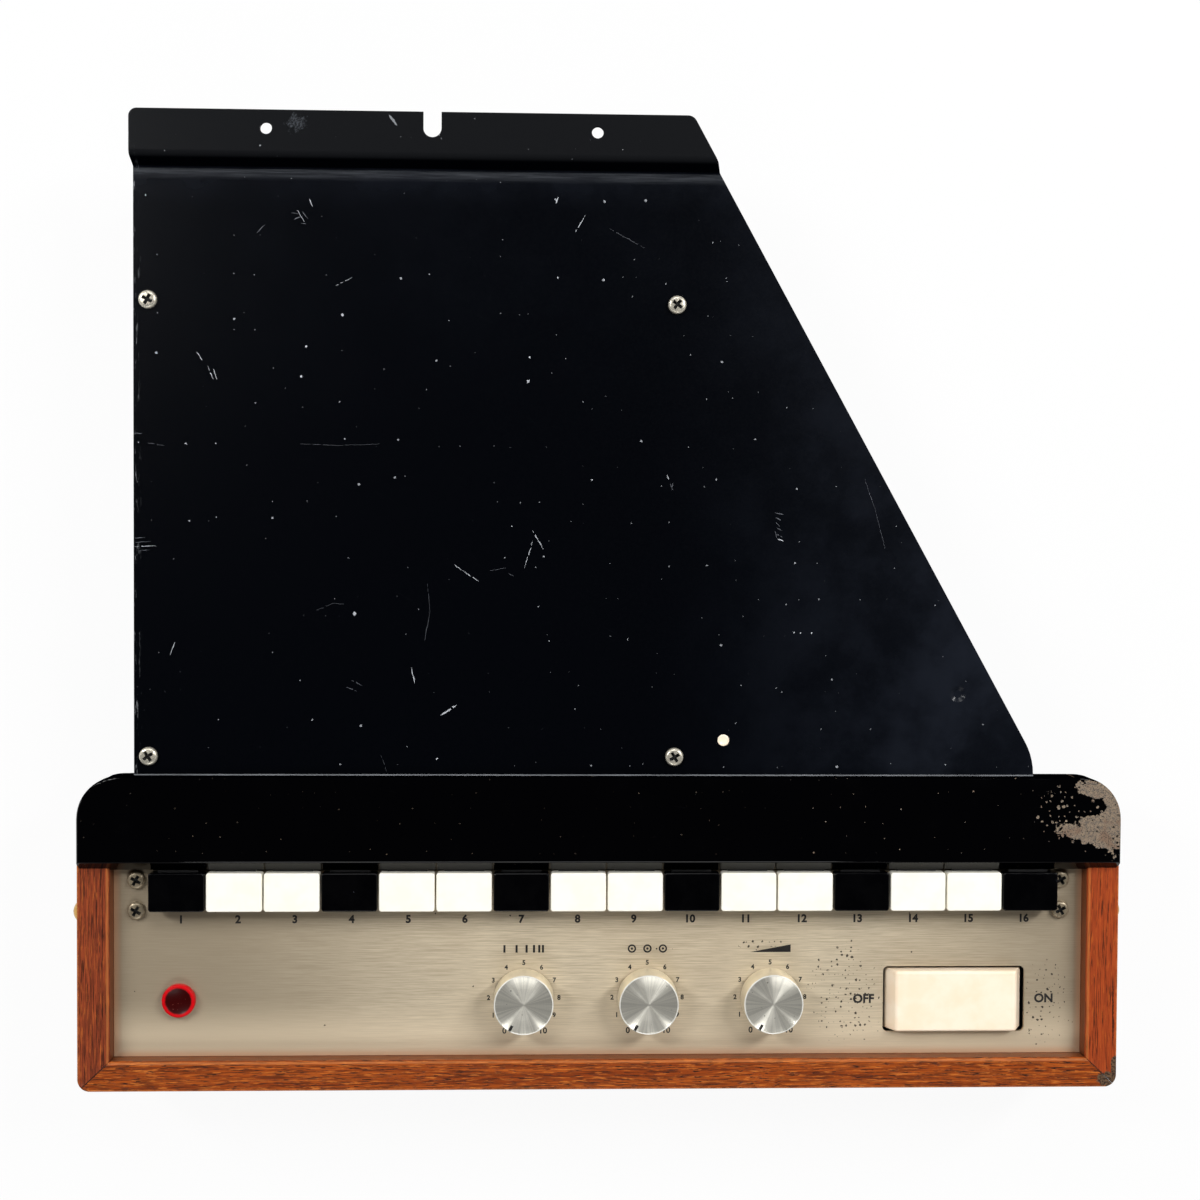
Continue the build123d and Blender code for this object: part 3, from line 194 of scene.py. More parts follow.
def rotated(vector, angle):
    settings = {"rotation_type": "Z_AXIS"}
    return addField(vector.tree, "ShaderNodeVectorRotate", settings, {"Vector": vector, "Angle": angle})


def join(field, socket):
    field.tree.links.new(field.socket, socket)


def rgb(red, green, blue):
    # a colour as seen on screen, from 0 to 255, in the linear values that sockets take
    def linear(level):
        share = level / 255
        return share / 12.92 if share <= 0.04045 else ((share + 0.055) / 1.055) ** 2.4
    return (linear(red), linear(green), linear(blue), 1.0)


# floor and sky: camera and mirror rays see white paper, and all other rays the dim studio

stageSettings = {
    "floorHalf": 3.0, "floorColour": rgb(225, 225, 225), "floorWhite": 0.94,
    "horizon": 0.60, "zenith": 0.012, "band": (0.10, 0.72), "paperTop": 0.12,
}
plainWhite = (1, 1, 1, 1)


def rayKinds(tree):
    path = addNode(tree, "ShaderNodeLightPath").outputs
    return [Field(path[kind]) for kind in ("Is Camera Ray", "Is Transmission Ray", "Is Glossy Ray")]


def mixShaders(tree, factor, first, second, output):
    mix = addField(tree, "ShaderNodeMixShader", None, {0: factor, 1: first, 2: second})
    join(mix, output.inputs["Surface"])


floorMesh = bpy.data.meshes.new("floor")
floorBm = bmesh.new()
bmesh.ops.create_grid(floorBm, x_segments=1, y_segments=1, size=stageSettings["floorHalf"])
floorBm.to_mesh(floorMesh)
floorBm.free()
floor = bpy.data.objects.new("floor", floorMesh)
bpy.context.scene.collection.objects.link(floor)
floorMaterial = bpy.data.materials.new("floor_paper")
floorMaterial.use_nodes = True
floorTree = floorMaterial.node_tree
paper = floorTree.nodes["Principled BSDF"]
paper.inputs["Base Color"].default_value = stageSettings["floorColour"]
paper.inputs["Roughness"].default_value = 0.9
paper.inputs["Specular IOR Level"].default_value = 0.1
white = addField(floorTree, "ShaderNodeEmission", None, {"Color": plainWhite, "Strength": 1.0})
seenFloor = strongest(*rayKinds(floorTree)) * stageSettings["floorWhite"]
mixShaders(floorTree, seenFloor, Field(paper.outputs[0]), white, floorTree.nodes["Material Output"])
floorMesh.materials.append(floorMaterial)

world = bpy.data.worlds.new("studio")
world.use_nodes = True
bpy.context.scene.world = world
sky = world.node_tree
sky.nodes.clear()
height = axesOf(addField(sky, "ShaderNodeTexCoord", output="Generated"))[2]
glow = remap(height, *stageSettings["band"], stageSettings["horizon"], stageSettings["zenith"])
studioLight = addField(sky, "ShaderNodeBackground", None, {"Color": plainWhite, "Strength": glow})
backdrop = addField(sky, "ShaderNodeBackground", None, {"Color": plainWhite, "Strength": 1.0})
seenByCamera, seenThrough, mirrored = rayKinds(sky)
lowPaper = calc("LESS_THAN", height, stageSettings["paperTop"])
seenSky = strongest(seenByCamera, seenThrough, mirrored * lowPaper)
mixShaders(sky, seenSky, studioLight, backdrop, addNode(sky, "ShaderNodeOutputWorld"))
print("stage ready")


# shared shader groups

def newGroup(name, inputs, outputName):
    # every group takes a Vector, and a number or a triple for each further input
    group = bpy.data.node_groups.new(name, "ShaderNodeTree")
    face = group.interface
    face.new_socket("Vector", in_out="INPUT", socket_type="NodeSocketVector")
    for label, value in inputs.items():
        kind = "NodeSocketFloat" if isinstance(value, float) else "NodeSocketVector"
        face.new_socket(label, in_out="INPUT", socket_type=kind).default_value = value
    face.new_socket(outputName, in_out="OUTPUT", socket_type="NodeSocketFloat")
    sockets = group.nodes.new("NodeGroupInput").outputs
    given = {socket.name: Field(socket) for socket in sockets if socket.name}
    return group, given, group.nodes.new("NodeGroupOutput").inputs[outputName]


def useGroup(group, vector, **inputs):
    return addField(vector.tree, "ShaderNodeGroup", {"node_tree": group}, {"Vector": vector, **inputs})


def makeSpecks(name, dimensions):
    # small round chips scattered over a flat face, or through a solid, each of its own size
    group, given, result = newGroup(name, {"Spacing": 8.0, "Radius": 0.3, "Share": 0.5, "Seed": 0.0}, "Mask")
    shifted = vectorCalc("ADD", given["Vector"], given["Seed"])
    wobble = noise(shifted, 1.6, 2.0, 0.5, "Color")
    bent = vectorCalc("MULTIPLY_ADD", wobble, (0.9, 0.9, 0.9), shifted)
    inputs = {"Vector": bent, "Scale": calc("DIVIDE", 1.0, given["Spacing"])}
    cells = addNode(group, "ShaderNodeTexVoronoi", {"voronoi_dimensions": dimensions}, inputs).outputs
    distance = Field(cells["Distance"]) * given["Spacing"]
    draws = addNode(group, "ShaderNodeSeparateColor", None, {0: Field(cells["Color"])}).outputs
    size = calc("POWER", Field(draws[0]), 2.0) * given["Radius"] + given["Radius"] * 0.35
    kept = calc("LESS_THAN", Field(draws[1]), given["Share"])
    join(remap(size - distance, -0.04, 0.04) * kept, result)
    return group


def makePatch():
    # one ragged worn spot: an ellipse with its edge broken up by noise
    inputs = {"Centre": (0, 0, 0), "Radii": (1, 1, 1), "Turn": 0.0, "Ragged": 0.5}
    group, given, result = newGroup("worn_patch", inputs, "Mask")
    away = vectorCalc("SUBTRACT", given["Vector"], given["Centre"])
    share = vectorCalc("DIVIDE", rotated(away, given["Turn"]), given["Radii"])
    push = (noise(given["Vector"], 0.45, 6.0, 0.65) - 0.5) * given["Ragged"]
    edge = vectorCalc("LENGTH", share, output="Value") + push * 4.0
    join(remap(edge, 1.06, 0.97), result)
    return group


def makeScratch():
    # a thin scratch from one point to another, broken along its length
    inputs = {"Start": (0, 0, 0), "End": (0, 0, 0), "Width": 0.3, "Strength": 1.0}
    group, given, result = newGroup("scratch", inputs, "Mask")
    along = vectorCalc("SUBTRACT", given["End"], given["Start"])
    away = vectorCalc("SUBTRACT", given["Vector"], given["Start"])
    top = vectorCalc("DOT_PRODUCT", away, along, output="Value")
    low = vectorCalc("DOT_PRODUCT", along, along, output="Value")
    share = calc("DIVIDE", top, low, clamp=True)
    reached = addField(group, "ShaderNodeVectorMath", {"operation": "SCALE"}, {0: along, "Scale": share})
    off = vectorCalc("DISTANCE", away, reached, output="Value")
    taper = 1.0 - calc("POWER", abs(share * 2.0 - 1.0), 3.0)
    half = given["Width"] * taper * (noise(given["Vector"], 0.9, 3.0, 0.5) * 1.1)
    join(remap(half - off, -0.06, 0.06) * given["Strength"], result)
    return group


def makeHairlines():
    # very fine rub marks in one direction
    group, given, result = newGroup("hairlines", {"Angle": 0.0, "Scale": 1.0, "Cover": 0.3}, "Mask")
    drawn = stretched(rotated(given["Vector"], given["Angle"]), (0.05, 2.2, 0.4))
    fine = remap(noise(drawn, given["Scale"], 2.0, 0.5), 0.66, 0.74)
    allowed = remap(noise(given["Vector"], 0.035, 2.0, 0.5), 0.9 - given["Cover"], 1.0)
    join(fine * allowed, result)
    return group


def makeStreaks():
    # brushing or wood grain: noise drawn out along X
    group, given, result = newGroup("streaks", {"Along": 0.02, "Across": 2.0, "Detail": 3.0}, "Value")
    x, y, z = axesOf(given["Vector"])
    drawn = combined(x * given["Along"], y * given["Across"], z * given["Across"])
    join(noise(drawn, 1.0, given["Detail"], 0.6), result)
    return group


specks = makeSpecks("specks", "2D")
solidSpecks = makeSpecks("solid_specks", "3D")
wornPatch = makePatch()
scratch = makeScratch()
hairlines = makeHairlines()
streaks = makeStreaks()


def newMaterial(name, constants):
    # constants holds what is the same all over the surface, set on the shader's own sockets
    material = bpy.data.materials.new(name)
    material.use_nodes = True
    shader = material.node_tree.nodes["Principled BSDF"]
    for key, value in constants.items():
        shader.inputs[key].default_value = value
    place = addField(material.node_tree, "ShaderNodeTexCoord", output="Object")
    return material, shader, stretched(place, (1 / mm, 1 / mm, 1 / mm))


def feed(shader, **fields):
    names = {
        "colour": "Base Color", "roughness": "Roughness", "metallic": "Metallic",
        "coat": "Coat Weight", "shine": "Specular IOR Level", "tangent": "Tangent",
    }
    for key, field in fields.items():
        join(field, shader.inputs[names[key]])


def addBump(shader, height, strength, distance=0.1):
    inputs = {"Height": height, "Strength": strength, "Distance": distance * mm}
    join(addField(height.tree, "ShaderNodeBump", None, inputs), shader.inputs["Normal"])


def rearward(tree):
    # how far the surface faces the rear, from -1 to 1
    return axesOf(addField(tree, "ShaderNodeTexCoord", output="Normal"))[1]


def aboutCentre(point, centre):
    # x, y and the distance from the upright axis of a knob or lens
    x, y, z = axesOf(stretched(point, location=(-centre.x, -centre.y, 0)))
    return x, y, vectorCalc("LENGTH", combined(x, y), output="Value")


# black paint of the deck

deckLook = {
    # the bluish haze on the right wing and the flange's grey are painted reflections
    "black": rgb(2, 3, 6), "reflectedBlue": rgb(33, 37, 46), "bare": rgb(190, 194, 200), "dull": rgb(84, 87, 94),
    "flangeSheen": rgb(19, 20, 22), "scuff": rgb(70, 73, 78), "roughness": 0.17, "shine": 0.15,
    "lapLine": -62.25, "leftEdge": -174.2, "smear": (-113.5, 176.4, 0),
    # start x, y, end x, y, width and strength; the first list is on the flange
    "flangeScratches": [
        (-80, 180, -77, 176, 0.7, 0.5), (-64, 177.5, -61.5, 172.5, 0.5, 0.55),
        (-66, 179, -64, 176.5, 0.35, 0.5),
    ],
    "scratches": [
        (-61, -40, -55, -36, 1.1, 1.0), (-72, -22, -70.6, -28, 0.6, 0.9), (-56, 16, -53, 14, 0.45, 0.8),
        (-53, 14, -47, 10, 0.4, 0.8), (-27, 29, -23, 22, 0.45, 0.9), (-27, 25, -30, 15, 0.35, 0.7),
        (-43, 14, -37, 15, 0.2, 0.5), (-36, 13, -34, 12, 0.3, 0.5), (-113, 60.6, -100, 60, 0.13, 0.3),
        (-100, 60, -83, 60.8, 0.13, 0.3), (-169, 60.5, -163, 59.5, 0.25, 0.5),
        (-100, 119, -94, 122, 0.35, 0.7), (-161, -18, -159, -13, 0.4, 0.9), (-8, 146, -12, 139, 0.4, 0.8),
        (1, 141, 14, 134, 0.2, 0.3), (-19, 150, -18, 152.5, 0.8, 0.8), (97, 49, 101, 38, 0.16, 0.4),
        (101, 38, 105, 23, 0.18, 0.4), (-66, 9, -65, -1, 0.14, 0.3), (-65, -1, -67, -12, 0.16, 0.3),
        (-107, -1, -101, 1.6, 0.14, 0.3), (-101, 1.6, -97, 1.4, 0.12, 0.3), (-147, 89, -145, 84, 0.4, 0.8),
        (-145, 88, -143.6, 84, 0.35, 0.8), (-151, 94, -149, 91, 0.35, 0.6), (-94, -27, -90, -29, 0.3, 0.5),
        (-96, -29.5, -92, -31, 0.5, 0.4), (-129, 138, -126, 141, 0.4, 0.5),
        (-174, 25.4, -170, 25.6, 0.4, 0.5), (-173.6, 23.8, -168, 24.1, 0.3, 0.5),
        (-174, 22.2, -166, 22.5, 0.35, 0.6), (-172, 20.8, -168.5, 21, 0.3, 0.4),
        (-174, 64, -171, 64, 0.3, 0.5), (-83, -55, -81, -61, 0.14, 0.25),
        (-115.4, 143.0, -112.2, 144.4, 0.5, 0.5), (-114.2, 146.4, -111.6, 142.2, 0.35, 0.7),
        (-112.4, 146.0, -110.4, 143.4, 0.3, 0.5), (-116.4, 145.4, -113.4, 145.0, 0.3, 0.5),
        (-112.8, 141.8, -110.2, 141.2, 0.35, 0.5), (-109.8, 150.6, -108.6, 147.8, 0.5, 0.7),
        (23.0, 50.2, 23.6, 48.2, 0.5, 0.9), (24.0, 46.8, 25.4, 44.2, 0.5, 0.5),
        (25.2, 47.0, 24.6, 44.4, 0.35, 0.5), (63.4, 36.2, 66.6, 35.6, 0.5, 0.5),
        (63.6, 34.4, 65.8, 33.4, 0.6, 0.5), (63.8, 32.6, 65.4, 31.0, 0.35, 0.4),
        (64.0, 30.6, 66.2, 29.4, 0.4, 0.4), (64.2, 28.2, 66.4, 27.0, 0.6, 0.5),
        (64.4, 26.4, 66.8, 25.6, 0.7, 0.7), (63.6, 29.4, 64.2, 26.0, 0.3, 0.4),
    ],
    # centre x, y and radius
    "chips": [
        (-93, -2.3, 0.95), (-29.0, 84.3, 0.8), (-28.4, 93.2, 0.45), (-112.7, 85.4, 0.6),
        (-110.9, 96.5, 0.5), (-97.6, 108.1, 0.7), (71.0, -8.6, 0.4), (73.4, -8.8, 0.35), (77.6, -8.8, 0.35),
        (-34.8, 30.6, 0.3), (-22.8, 19.4, 0.35),
    ],
}


def deckPaint():
    look = deckLook
    material, shader, point = newMaterial("deck_paint", {"IOR": 1.5})
    x, y, z = axesOf(point)
    flat = combined(x, y)
    chipped = useGroup(specks, flat, Spacing=15.0, Radius=0.34, Share=0.30) * 0.75
    dust = useGroup(specks, flat, Spacing=7.0, Radius=0.17, Share=0.14, Seed=31.0) * 0.4
    bare = strongest(chipped, dust)
    for x0, y0, x1, y1, width, strength in look["flangeScratches"]:
        ends = {"Start": (x0, y0, 0), "End": (x1, y1, 0)}
        bare = strongest(bare, useGroup(scratch, flat, **ends, Width=width, Strength=strength))
    # worn where the cover laps the deck and at the left edge
    lap = remap(abs(y - look["lapLine"]), 0.34, 0.16)
    lapWear = remap(noise(stretched(flat, (0.03, 1, 1)), 1.0, 4, 0.6), 0.3, 0.65, 0.2, 0.5)
    leftEdge = remap(x, look["leftEdge"] + 3.2, look["leftEdge"])
    torn = remap(noise(stretched(flat, (0.8, 0.12, 1)), 1.0, 5, 0.75), 0.56, 0.68)
    bare = strongest(bare, lap * lapWear, leftEdge * torn * 0.35)
    # scuffed along the fold; a painted reflection, bluish and cloudy, on the right wing and towards the fold
    broken = remap(noise(stretched(flat, (0.05, 1.2, 1)), 1.0, 5, 0.7), 0.36, 0.7, 0.25, 1.0)
    fold = remap(y, 157.0, 160.4) * remap(y, 161.6, 161.0)
    rub = useGroup(hairlines, flat, Angle=0.5, Scale=1.0, Cover=0.42)
    scuff = strongest(fold * broken * 0.8, rub * 0.10)
    clouds = remap(noise(flat, 0.022, 5, 0.65), 0.36, 0.68, 0.25, 1.0)
    side = remap(x, 10.0, 170.0) * 0.58
    rear = remap(y, 50.0, 150.0) * 0.06 + remap(y, 146.0, 161.0) * 0.25
    onTop = remap(z, deckTop + 0.8, deckTop + 0.1)
    paintedReflection = clouds * calc("ADD", side, rear, clamp=True) * onTop
    smear = useGroup(wornPatch, flat, Centre=look["smear"], Radii=(3.4, 2.8, 1), Ragged=0.9)
    smear = smear * remap(noise(flat, 1.4, 4, 0.7), 0.45, 0.6, 0.1, 0.8)
    colour = blend(paintedReflection, look["black"], look["reflectedBlue"])
    # painted sheen: the raised flange is greyer than the deck
    colour = blend(remap(z, deckTop + 5.5, deckTop + 7.5), colour, look["flangeSheen"])
    colour = blend(strongest(scuff, smear), colour, look["scuff"])
    colour = blend(bare, colour, look["bare"])
    fine = noise(point, 1.1, 2)
    shine = remap(rearward(point.tree), -0.1, -0.5, look["shine"], 0.0)
    feed(shader, colour=colour, roughness=fine * 0.10 + look["roughness"], metallic=bare * 0.5, shine=shine)
    addBump(shader, fine * 0.08 - bare * 0.8, 0.35)
    return material


# gloss black of the key cover, chipped to the primer at its right end

glossLook = {
    "black": rgb(1, 1, 2), "swirl": rgb(90, 92, 98), "primer": rgb(136, 118, 98),
    "primerRed": rgb(116, 94, 76), "metal": rgb(92, 84, 76), "pit": rgb(30, 27, 26),
    "primerRoughness": (0.62, 0.62, 0.62, 1),
    # centre x, y, radii and turn in degrees
    "patches": [
        (191.6, -77.0, 4.6, 13.0, 0), (184.6, -67.4, 6.6, 3.0, 12), (182.0, -84.2, 11.5, 3.0, 14),
        (186.5, -80.6, 8.0, 3.6, 8), (189.6, -86.6, 6.0, 3.0, 10),
    ],
    "isle": {"Centre": (186.0, -73.4, 0), "Radii": (3.4, 2.6, 1)},
    "crumbs": {"Centre": (175.0, -75.5, 0), "Radii": (11.5, 10.0, 1)},
}


def glossPaint():
    look = glossLook
    material, shader, point = newMaterial("gloss_paint", {"Coat Roughness": 0.06})
    x, y, z = axesOf(point)
    flat = combined(x, y)
    patch = strongest(*(
        useGroup(wornPatch, flat, Centre=(x0, y0, 0), Radii=(rx, ry, 1), Turn=radians(turn), Ragged=0.5)
        for x0, y0, rx, ry, turn in look["patches"]
    ))
    # some paint still clings to the primer: an isle of it, and flecks
    isle = useGroup(wornPatch, flat, **look["isle"], Ragged=0.4)
    left = useGroup(specks, flat, Spacing=1.5, Radius=0.6, Share=0.5, Seed=23.0)
    clings = remap(noise(flat, 0.22, 4, 0.7), 0.47, 0.6)
    patch = patch * (1.0 - isle) * (1.0 - left * clings)
    # crumbs beside the patch, and dots that thin out to the left
    zone = useGroup(wornPatch, flat, **look["crumbs"], Ragged=0.6)
    crumbs = useGroup(specks, flat, Spacing=1.9, Radius=0.6, Share=0.42, Seed=7.0) * zone
    dots = useGroup(specks, flat, Spacing=5.5, Radius=0.2, Share=0.34, Seed=3.0)
    lost = strongest(patch, crumbs, dots * remap(x, 20.0, 120.0, 0.3, 1.0))
    mottle = noise(flat, 0.9, 6, 0.7)
    pits = remap(noise(flat, 2.2, 3, 0.6), 0.53, 0.60)
    primer = blend(remap(mottle, 0.4, 0.65), look["primer"], look["metal"])
    primer = blend(remap(noise(flat, 0.16, 3), 0.5, 0.65), primer, look["primerRed"])
    primer = blend(pits * 0.85, primer, look["pit"])
    swirls = useGroup(hairlines, flat, Angle=0.15, Scale=1.4, Cover=0.38) * 0.05
    colour = blend(lost, blend(swirls, look["black"], look["swirl"]), primer)
    smears = remap(noise(flat, 0.06, 4), 0.45, 0.7, 0.05, 0.14)
    # the rear edge is dull, and the apron shines less than the top
    ahead = rearward(point.tree)
    onTop = remap(ahead, 0.35, 0.05) * remap(ahead, -0.5, -0.1)
    shine = onTop * 0.4 + remap(ahead, -0.1, -0.5) * 0.10
    coat = (1.0 - lost) * 0.25 * onTop
    roughness = blend(lost, smears, look["primerRoughness"])
    feed(shader, colour=colour, roughness=roughness, coat=coat, shine=shine)
    addBump(shader, mottle * (lost * 0.25) - lost, 0.5, 0.12)
    return material


# veneer, with its grain along X, or along Y on the cheeks

woodLook = {
    "rail": {
        "light": rgb(165, 78, 22), "mid": rgb(135, 57, 13), "dark": rgb(74, 29, 8),
        "poreLength": 0.2, "poreShare": 0.85, "fleckShare": 0.75,
    },
    "cheek": {
        "light": rgb(148, 66, 34), "mid": rgb(124, 54, 30), "dark": rgb(80, 32, 17),
        "poreLength": 0.09, "poreShare": 0.75, "fleckShare": 0.35,
    },
    "rightCheek": rgb(196, 76, 14), "fleck": rgb(200, 112, 44), "pore": rgb(24, 10, 5),
    "worn": rgb(206, 124, 64), "innerFaceShade": rgb(100, 60, 34), "core": rgb(104, 80, 58),
    "coreDark": rgb(44, 30, 22),
    "crack": {"Start": (194.0, -138.0, woodTop), "End": (194.4, -168.0, woodTop), "Width": 0.55},
    "broken": [
        {"Centre": (193.0, -178.4, woodTop - 1), "Radii": (4.6, 3.0, 6), "Turn": 0.3, "Ragged": 0.35},
        {"Centre": (195.0, -173.5, woodTop - 1), "Radii": (1.3, 4.0, 6), "Ragged": 0.4},
    ],
}


def veneer(kind, innerEdge, outerEdge, seed):
    look, tint = woodLook, woodLook[kind]
    alongY = kind == "cheek"
    material, shader, point = newMaterial(f"{kind}_veneer", {"Specular IOR Level": 0.2})
    turn = (0, 0, -pi / 2 if alongY else 0)
    grained = stretched(point, rotation=turn, location=(seed, seed * 2, seed * 3))
    bend = noise(stretched(grained, (0.01, 0.12, 0.12)), 1.0, 2)
    grained = vectorCalc("ADD", grained, combined(0.0, bend * 5.0))
    broad = useGroup(streaks, grained, Along=0.016, Across=0.6, Detail=4.0)
    fine = useGroup(streaks, grained, Along=0.09, Across=2.8, Detail=3.0)
    pores = useGroup(streaks, grained, Along=tint["poreLength"], Across=2.4, Detail=2.0)
    pores = remap(pores, 0.575, 0.635)
    aside = stretched(grained, location=(40.0, 17.0, 5.0))
    flecks = useGroup(streaks, aside, Along=0.15, Across=1.7, Detail=3.0)
    colour = blend(remap(broad, 0.36, 0.62), tint["mid"], tint["light"])
    colour = blend(remap(fine, 0.44, 0.6) * 0.75, colour, tint["dark"])
    colour = blend(remap(flecks, 0.55, 0.66) * tint["fleckShare"], colour, look["fleck"])
    x, y, z = axesOf(point)
    if alongY:
        colour = blend(remap(x, -1.0, 1.0, 0.0, 0.3), colour, look["rightCheek"])
    colour = blend(pores * tint["poreShare"], colour, look["pore"])
    across = abs(x if alongY else y)
    fromInner, fromOuter = abs(across - innerEdge), abs(across - outerEdge)
    # a painted highlight along the rounded inner top edge, partly wear too, and the outer edge rubbed
    # unevenly
    ragged = (noise(point, 0.5, 5, 0.7) - 0.5) * 1.6
    edgeHighlight = remap(abs(fromInner - 0.75), 0.65, 0.2) * 0.4
    outer = remap(fromOuter + ragged, 0.9, 0.1) * 0.7
    rubbedAndHighlit = calc("ADD", edgeHighlight, outer, clamp=True) * remap(z, woodTop - 3.0, woodTop - 1.2)
    colour = blend(rubbedAndHighlit, colour, look["worn"])
    # painted shade: the inner face is darker below its bead
    inwardShade = remap(fromInner, 0.3, 0.1) * remap(z, woodTop - 1.3, woodTop - 1.9)
    colour = blend(inwardShade * 0.75, colour, look["innerFaceShade"])
    # veneer broken away at the front right corner, and a dark joint at each mitre
    gone = strongest(*(useGroup(wornPatch, point, **spot) for spot in look["broken"]))
    core = blend(remap(noise(point, 1.2, 4), 0.4, 0.62), look["core"], look["coreDark"])
    colour = blend(gone, colour, core)
    cracks = useGroup(scratch, point, **look["crack"])
    for way in (-1, 1):
        start = (way * (woodOutside[0] + 1), woodOutside[1] - 1, woodTop - 0.1)
        end = (way * (woodInside[0] - 1), woodInside[1] + 1, woodTop - 0.1)
        cracks = strongest(cracks, useGroup(scratch, point, Start=start, End=end, Width=0.4))
    colour = blend(cracks * 0.85, colour, look["pore"])
    feed(shader, colour=colour, roughness=fine * 0.2 + 0.34 + gone * 0.3)
    addBump(shader, fine * 0.25 - pores * 0.9 - (gone * 2.0 + cracks), 0.6, 0.15)
    return material


# brushed face panel with pitted spots

panelLook = {
    # the ends and low colours are painted shade and painted light
    "light": rgb(224, 209, 182), "dark": rgb(188, 173, 147), "cloud": rgb(186, 166, 138),
    "ends": rgb(150, 136, 114), "low": rgb(238, 219, 188), "woodReflection": rgb(190, 130, 86),
    "shadow": rgb(12, 11, 10), "pit": rgb(40, 32, 28), "middle": 22.0,
    # centre x, y and radii of the pitted areas
    "pitted": [(93, -146, 12, 17), (170, -151, 8, 14), (60, -128, 8, 2)],
}


def brushedPanel():
    look = panelLook
    material, shader, point = newMaterial("panel_aluminium", {"Metallic": 0.45})
    coarse = useGroup(streaks, point, Along=0.04, Across=2.6, Detail=3.0)
    fine = useGroup(streaks, point, Along=0.12, Across=7.0, Detail=2.0)
    brushed = coarse * 0.5 + fine * 0.5
    colour = blend(remap(brushed, 0.38, 0.62), look["dark"], look["light"])
    colour = blend(remap(noise(point, 0.02, 3), 0.4, 0.65) * 0.2, colour, look["cloud"])
    x, y, z = axesOf(point)
    # painted shade: darker towards both ends
    colour = blend(remap(abs(x - look["middle"]), 60.0, 175.0, 0.0, 0.85), colour, look["ends"])
    # painted light: brighter towards the bottom
    colour = blend(remap(y, -146.0, -168.0, 0.0, 0.7), colour, look["low"])
    # painted reflection of the wood's own colour along the edges
    toWood = calc("MINIMUM", y - woodInside[1], woodInside[0] - abs(x))
    colour = blend(remap(toWood, 3.6, 0.0, 0.0, 0.55), colour, look["woodReflection"])
    # shadowed under the cover, where the key levers pass
    underCover = remap(y, capRear - 0.5, capRear)
    betweenKeys = remap(abs(x - keyMiddle), keyRowHalf + 0.2, keyRowHalf - 0.2)
    colour = blend(underCover * betweenKeys, colour, look["shadow"])
    zones = strongest(*(
        useGroup(wornPatch, point, Centre=(x0, y0, panelTop), Radii=(rx, ry, 8), Ragged=0.7)
        for x0, y0, rx, ry in look["pitted"]
    ))
    dense = useGroup(specks, point, Spacing=1.8, Radius=0.38, Share=0.6, Seed=12.0)
    sparse = useGroup(specks, point, Spacing=14.0, Radius=0.26, Share=0.2, Seed=5.0)
    pits = strongest(zones * dense, sparse)
    colour = blend(pits * 0.9, colour, look["pit"])
    feed(shader, colour=colour, roughness=brushed * 0.16 + 0.40 + pits * 0.35)
    addBump(shader, brushed * 0.5 - pits, 0.35, 0.05)
    return material


def softMetal(name, light, dark, roughness, metallic=1.0, filmShare=0.4, scale=0.5):
    # plated or cast metal with a dull film in patches
    material, shader, point = newMaterial(name, {"Metallic": metallic})
    film = remap(noise(point, scale, 5, 0.65), 0.45, 0.7)
    feed(shader, colour=blend(film * filmShare, light, dark), roughness=film * 0.25 + roughness)
    addBump(shader, noise(point, scale * 6, 3), 0.1, 0.05)
    return material


def plastic(name, light, dark, roughness, coat, dirtShare, dirt=rgb(120, 100, 78), wear=1.0, shine=0.45):
    # moulded plastic, slightly uneven in colour, with a little dirt and fine rubs
    constants = {"Coat Weight": coat, "Coat Roughness": 0.12, "Specular IOR Level": shine}
    material, shader, point = newMaterial(name, constants)
    colour = blend(remap(noise(point, 0.09, 4), 0.38, 0.66), light, dark)
    spots = useGroup(solidSpecks, point, Spacing=5.0, Radius=0.16, Share=dirtShare, Seed=17.0)
    rubs = useGroup(hairlines, point, Angle=0.35, Scale=1.3, Cover=0.4)
    colour = blend(strongest(spots * 0.5, rubs * (0.05 * wear)), colour, dirt)
    feed(shader, colour=colour, roughness=noise(point, 0.7, 3) * 0.12 + roughness + rubs * (0.15 * wear))
    addBump(shader, noise(point, 1.4, 2), 0.06 * wear, 0.05)
    return material


def chassisPaint():
    # satin paint over folded sheet, with a light orange peel
    material, shader, point = newMaterial("chassis_paint", {"Specular IOR Level": 0.45})
    colour = blend(remap(noise(point, 0.03, 4), 0.4, 0.66), rgb(26, 27, 29), rgb(34, 35, 38))
    chips = useGroup(solidSpecks, point, Spacing=16.0, Radius=0.35, Share=0.4, Seed=9.0)
    rubs = useGroup(hairlines, point, Angle=0.2, Scale=1.0, Cover=0.4)
    colour = blend(calc("ADD", chips * 0.8, rubs * 0.10, clamp=True), colour, rgb(150, 152, 155))
    peel = noise(point, 0.9, 3)
    feed(shader, colour=colour, roughness=peel * 0.12 + 0.36)
    addBump(shader, peel, 0.18, 0.08)
    return material


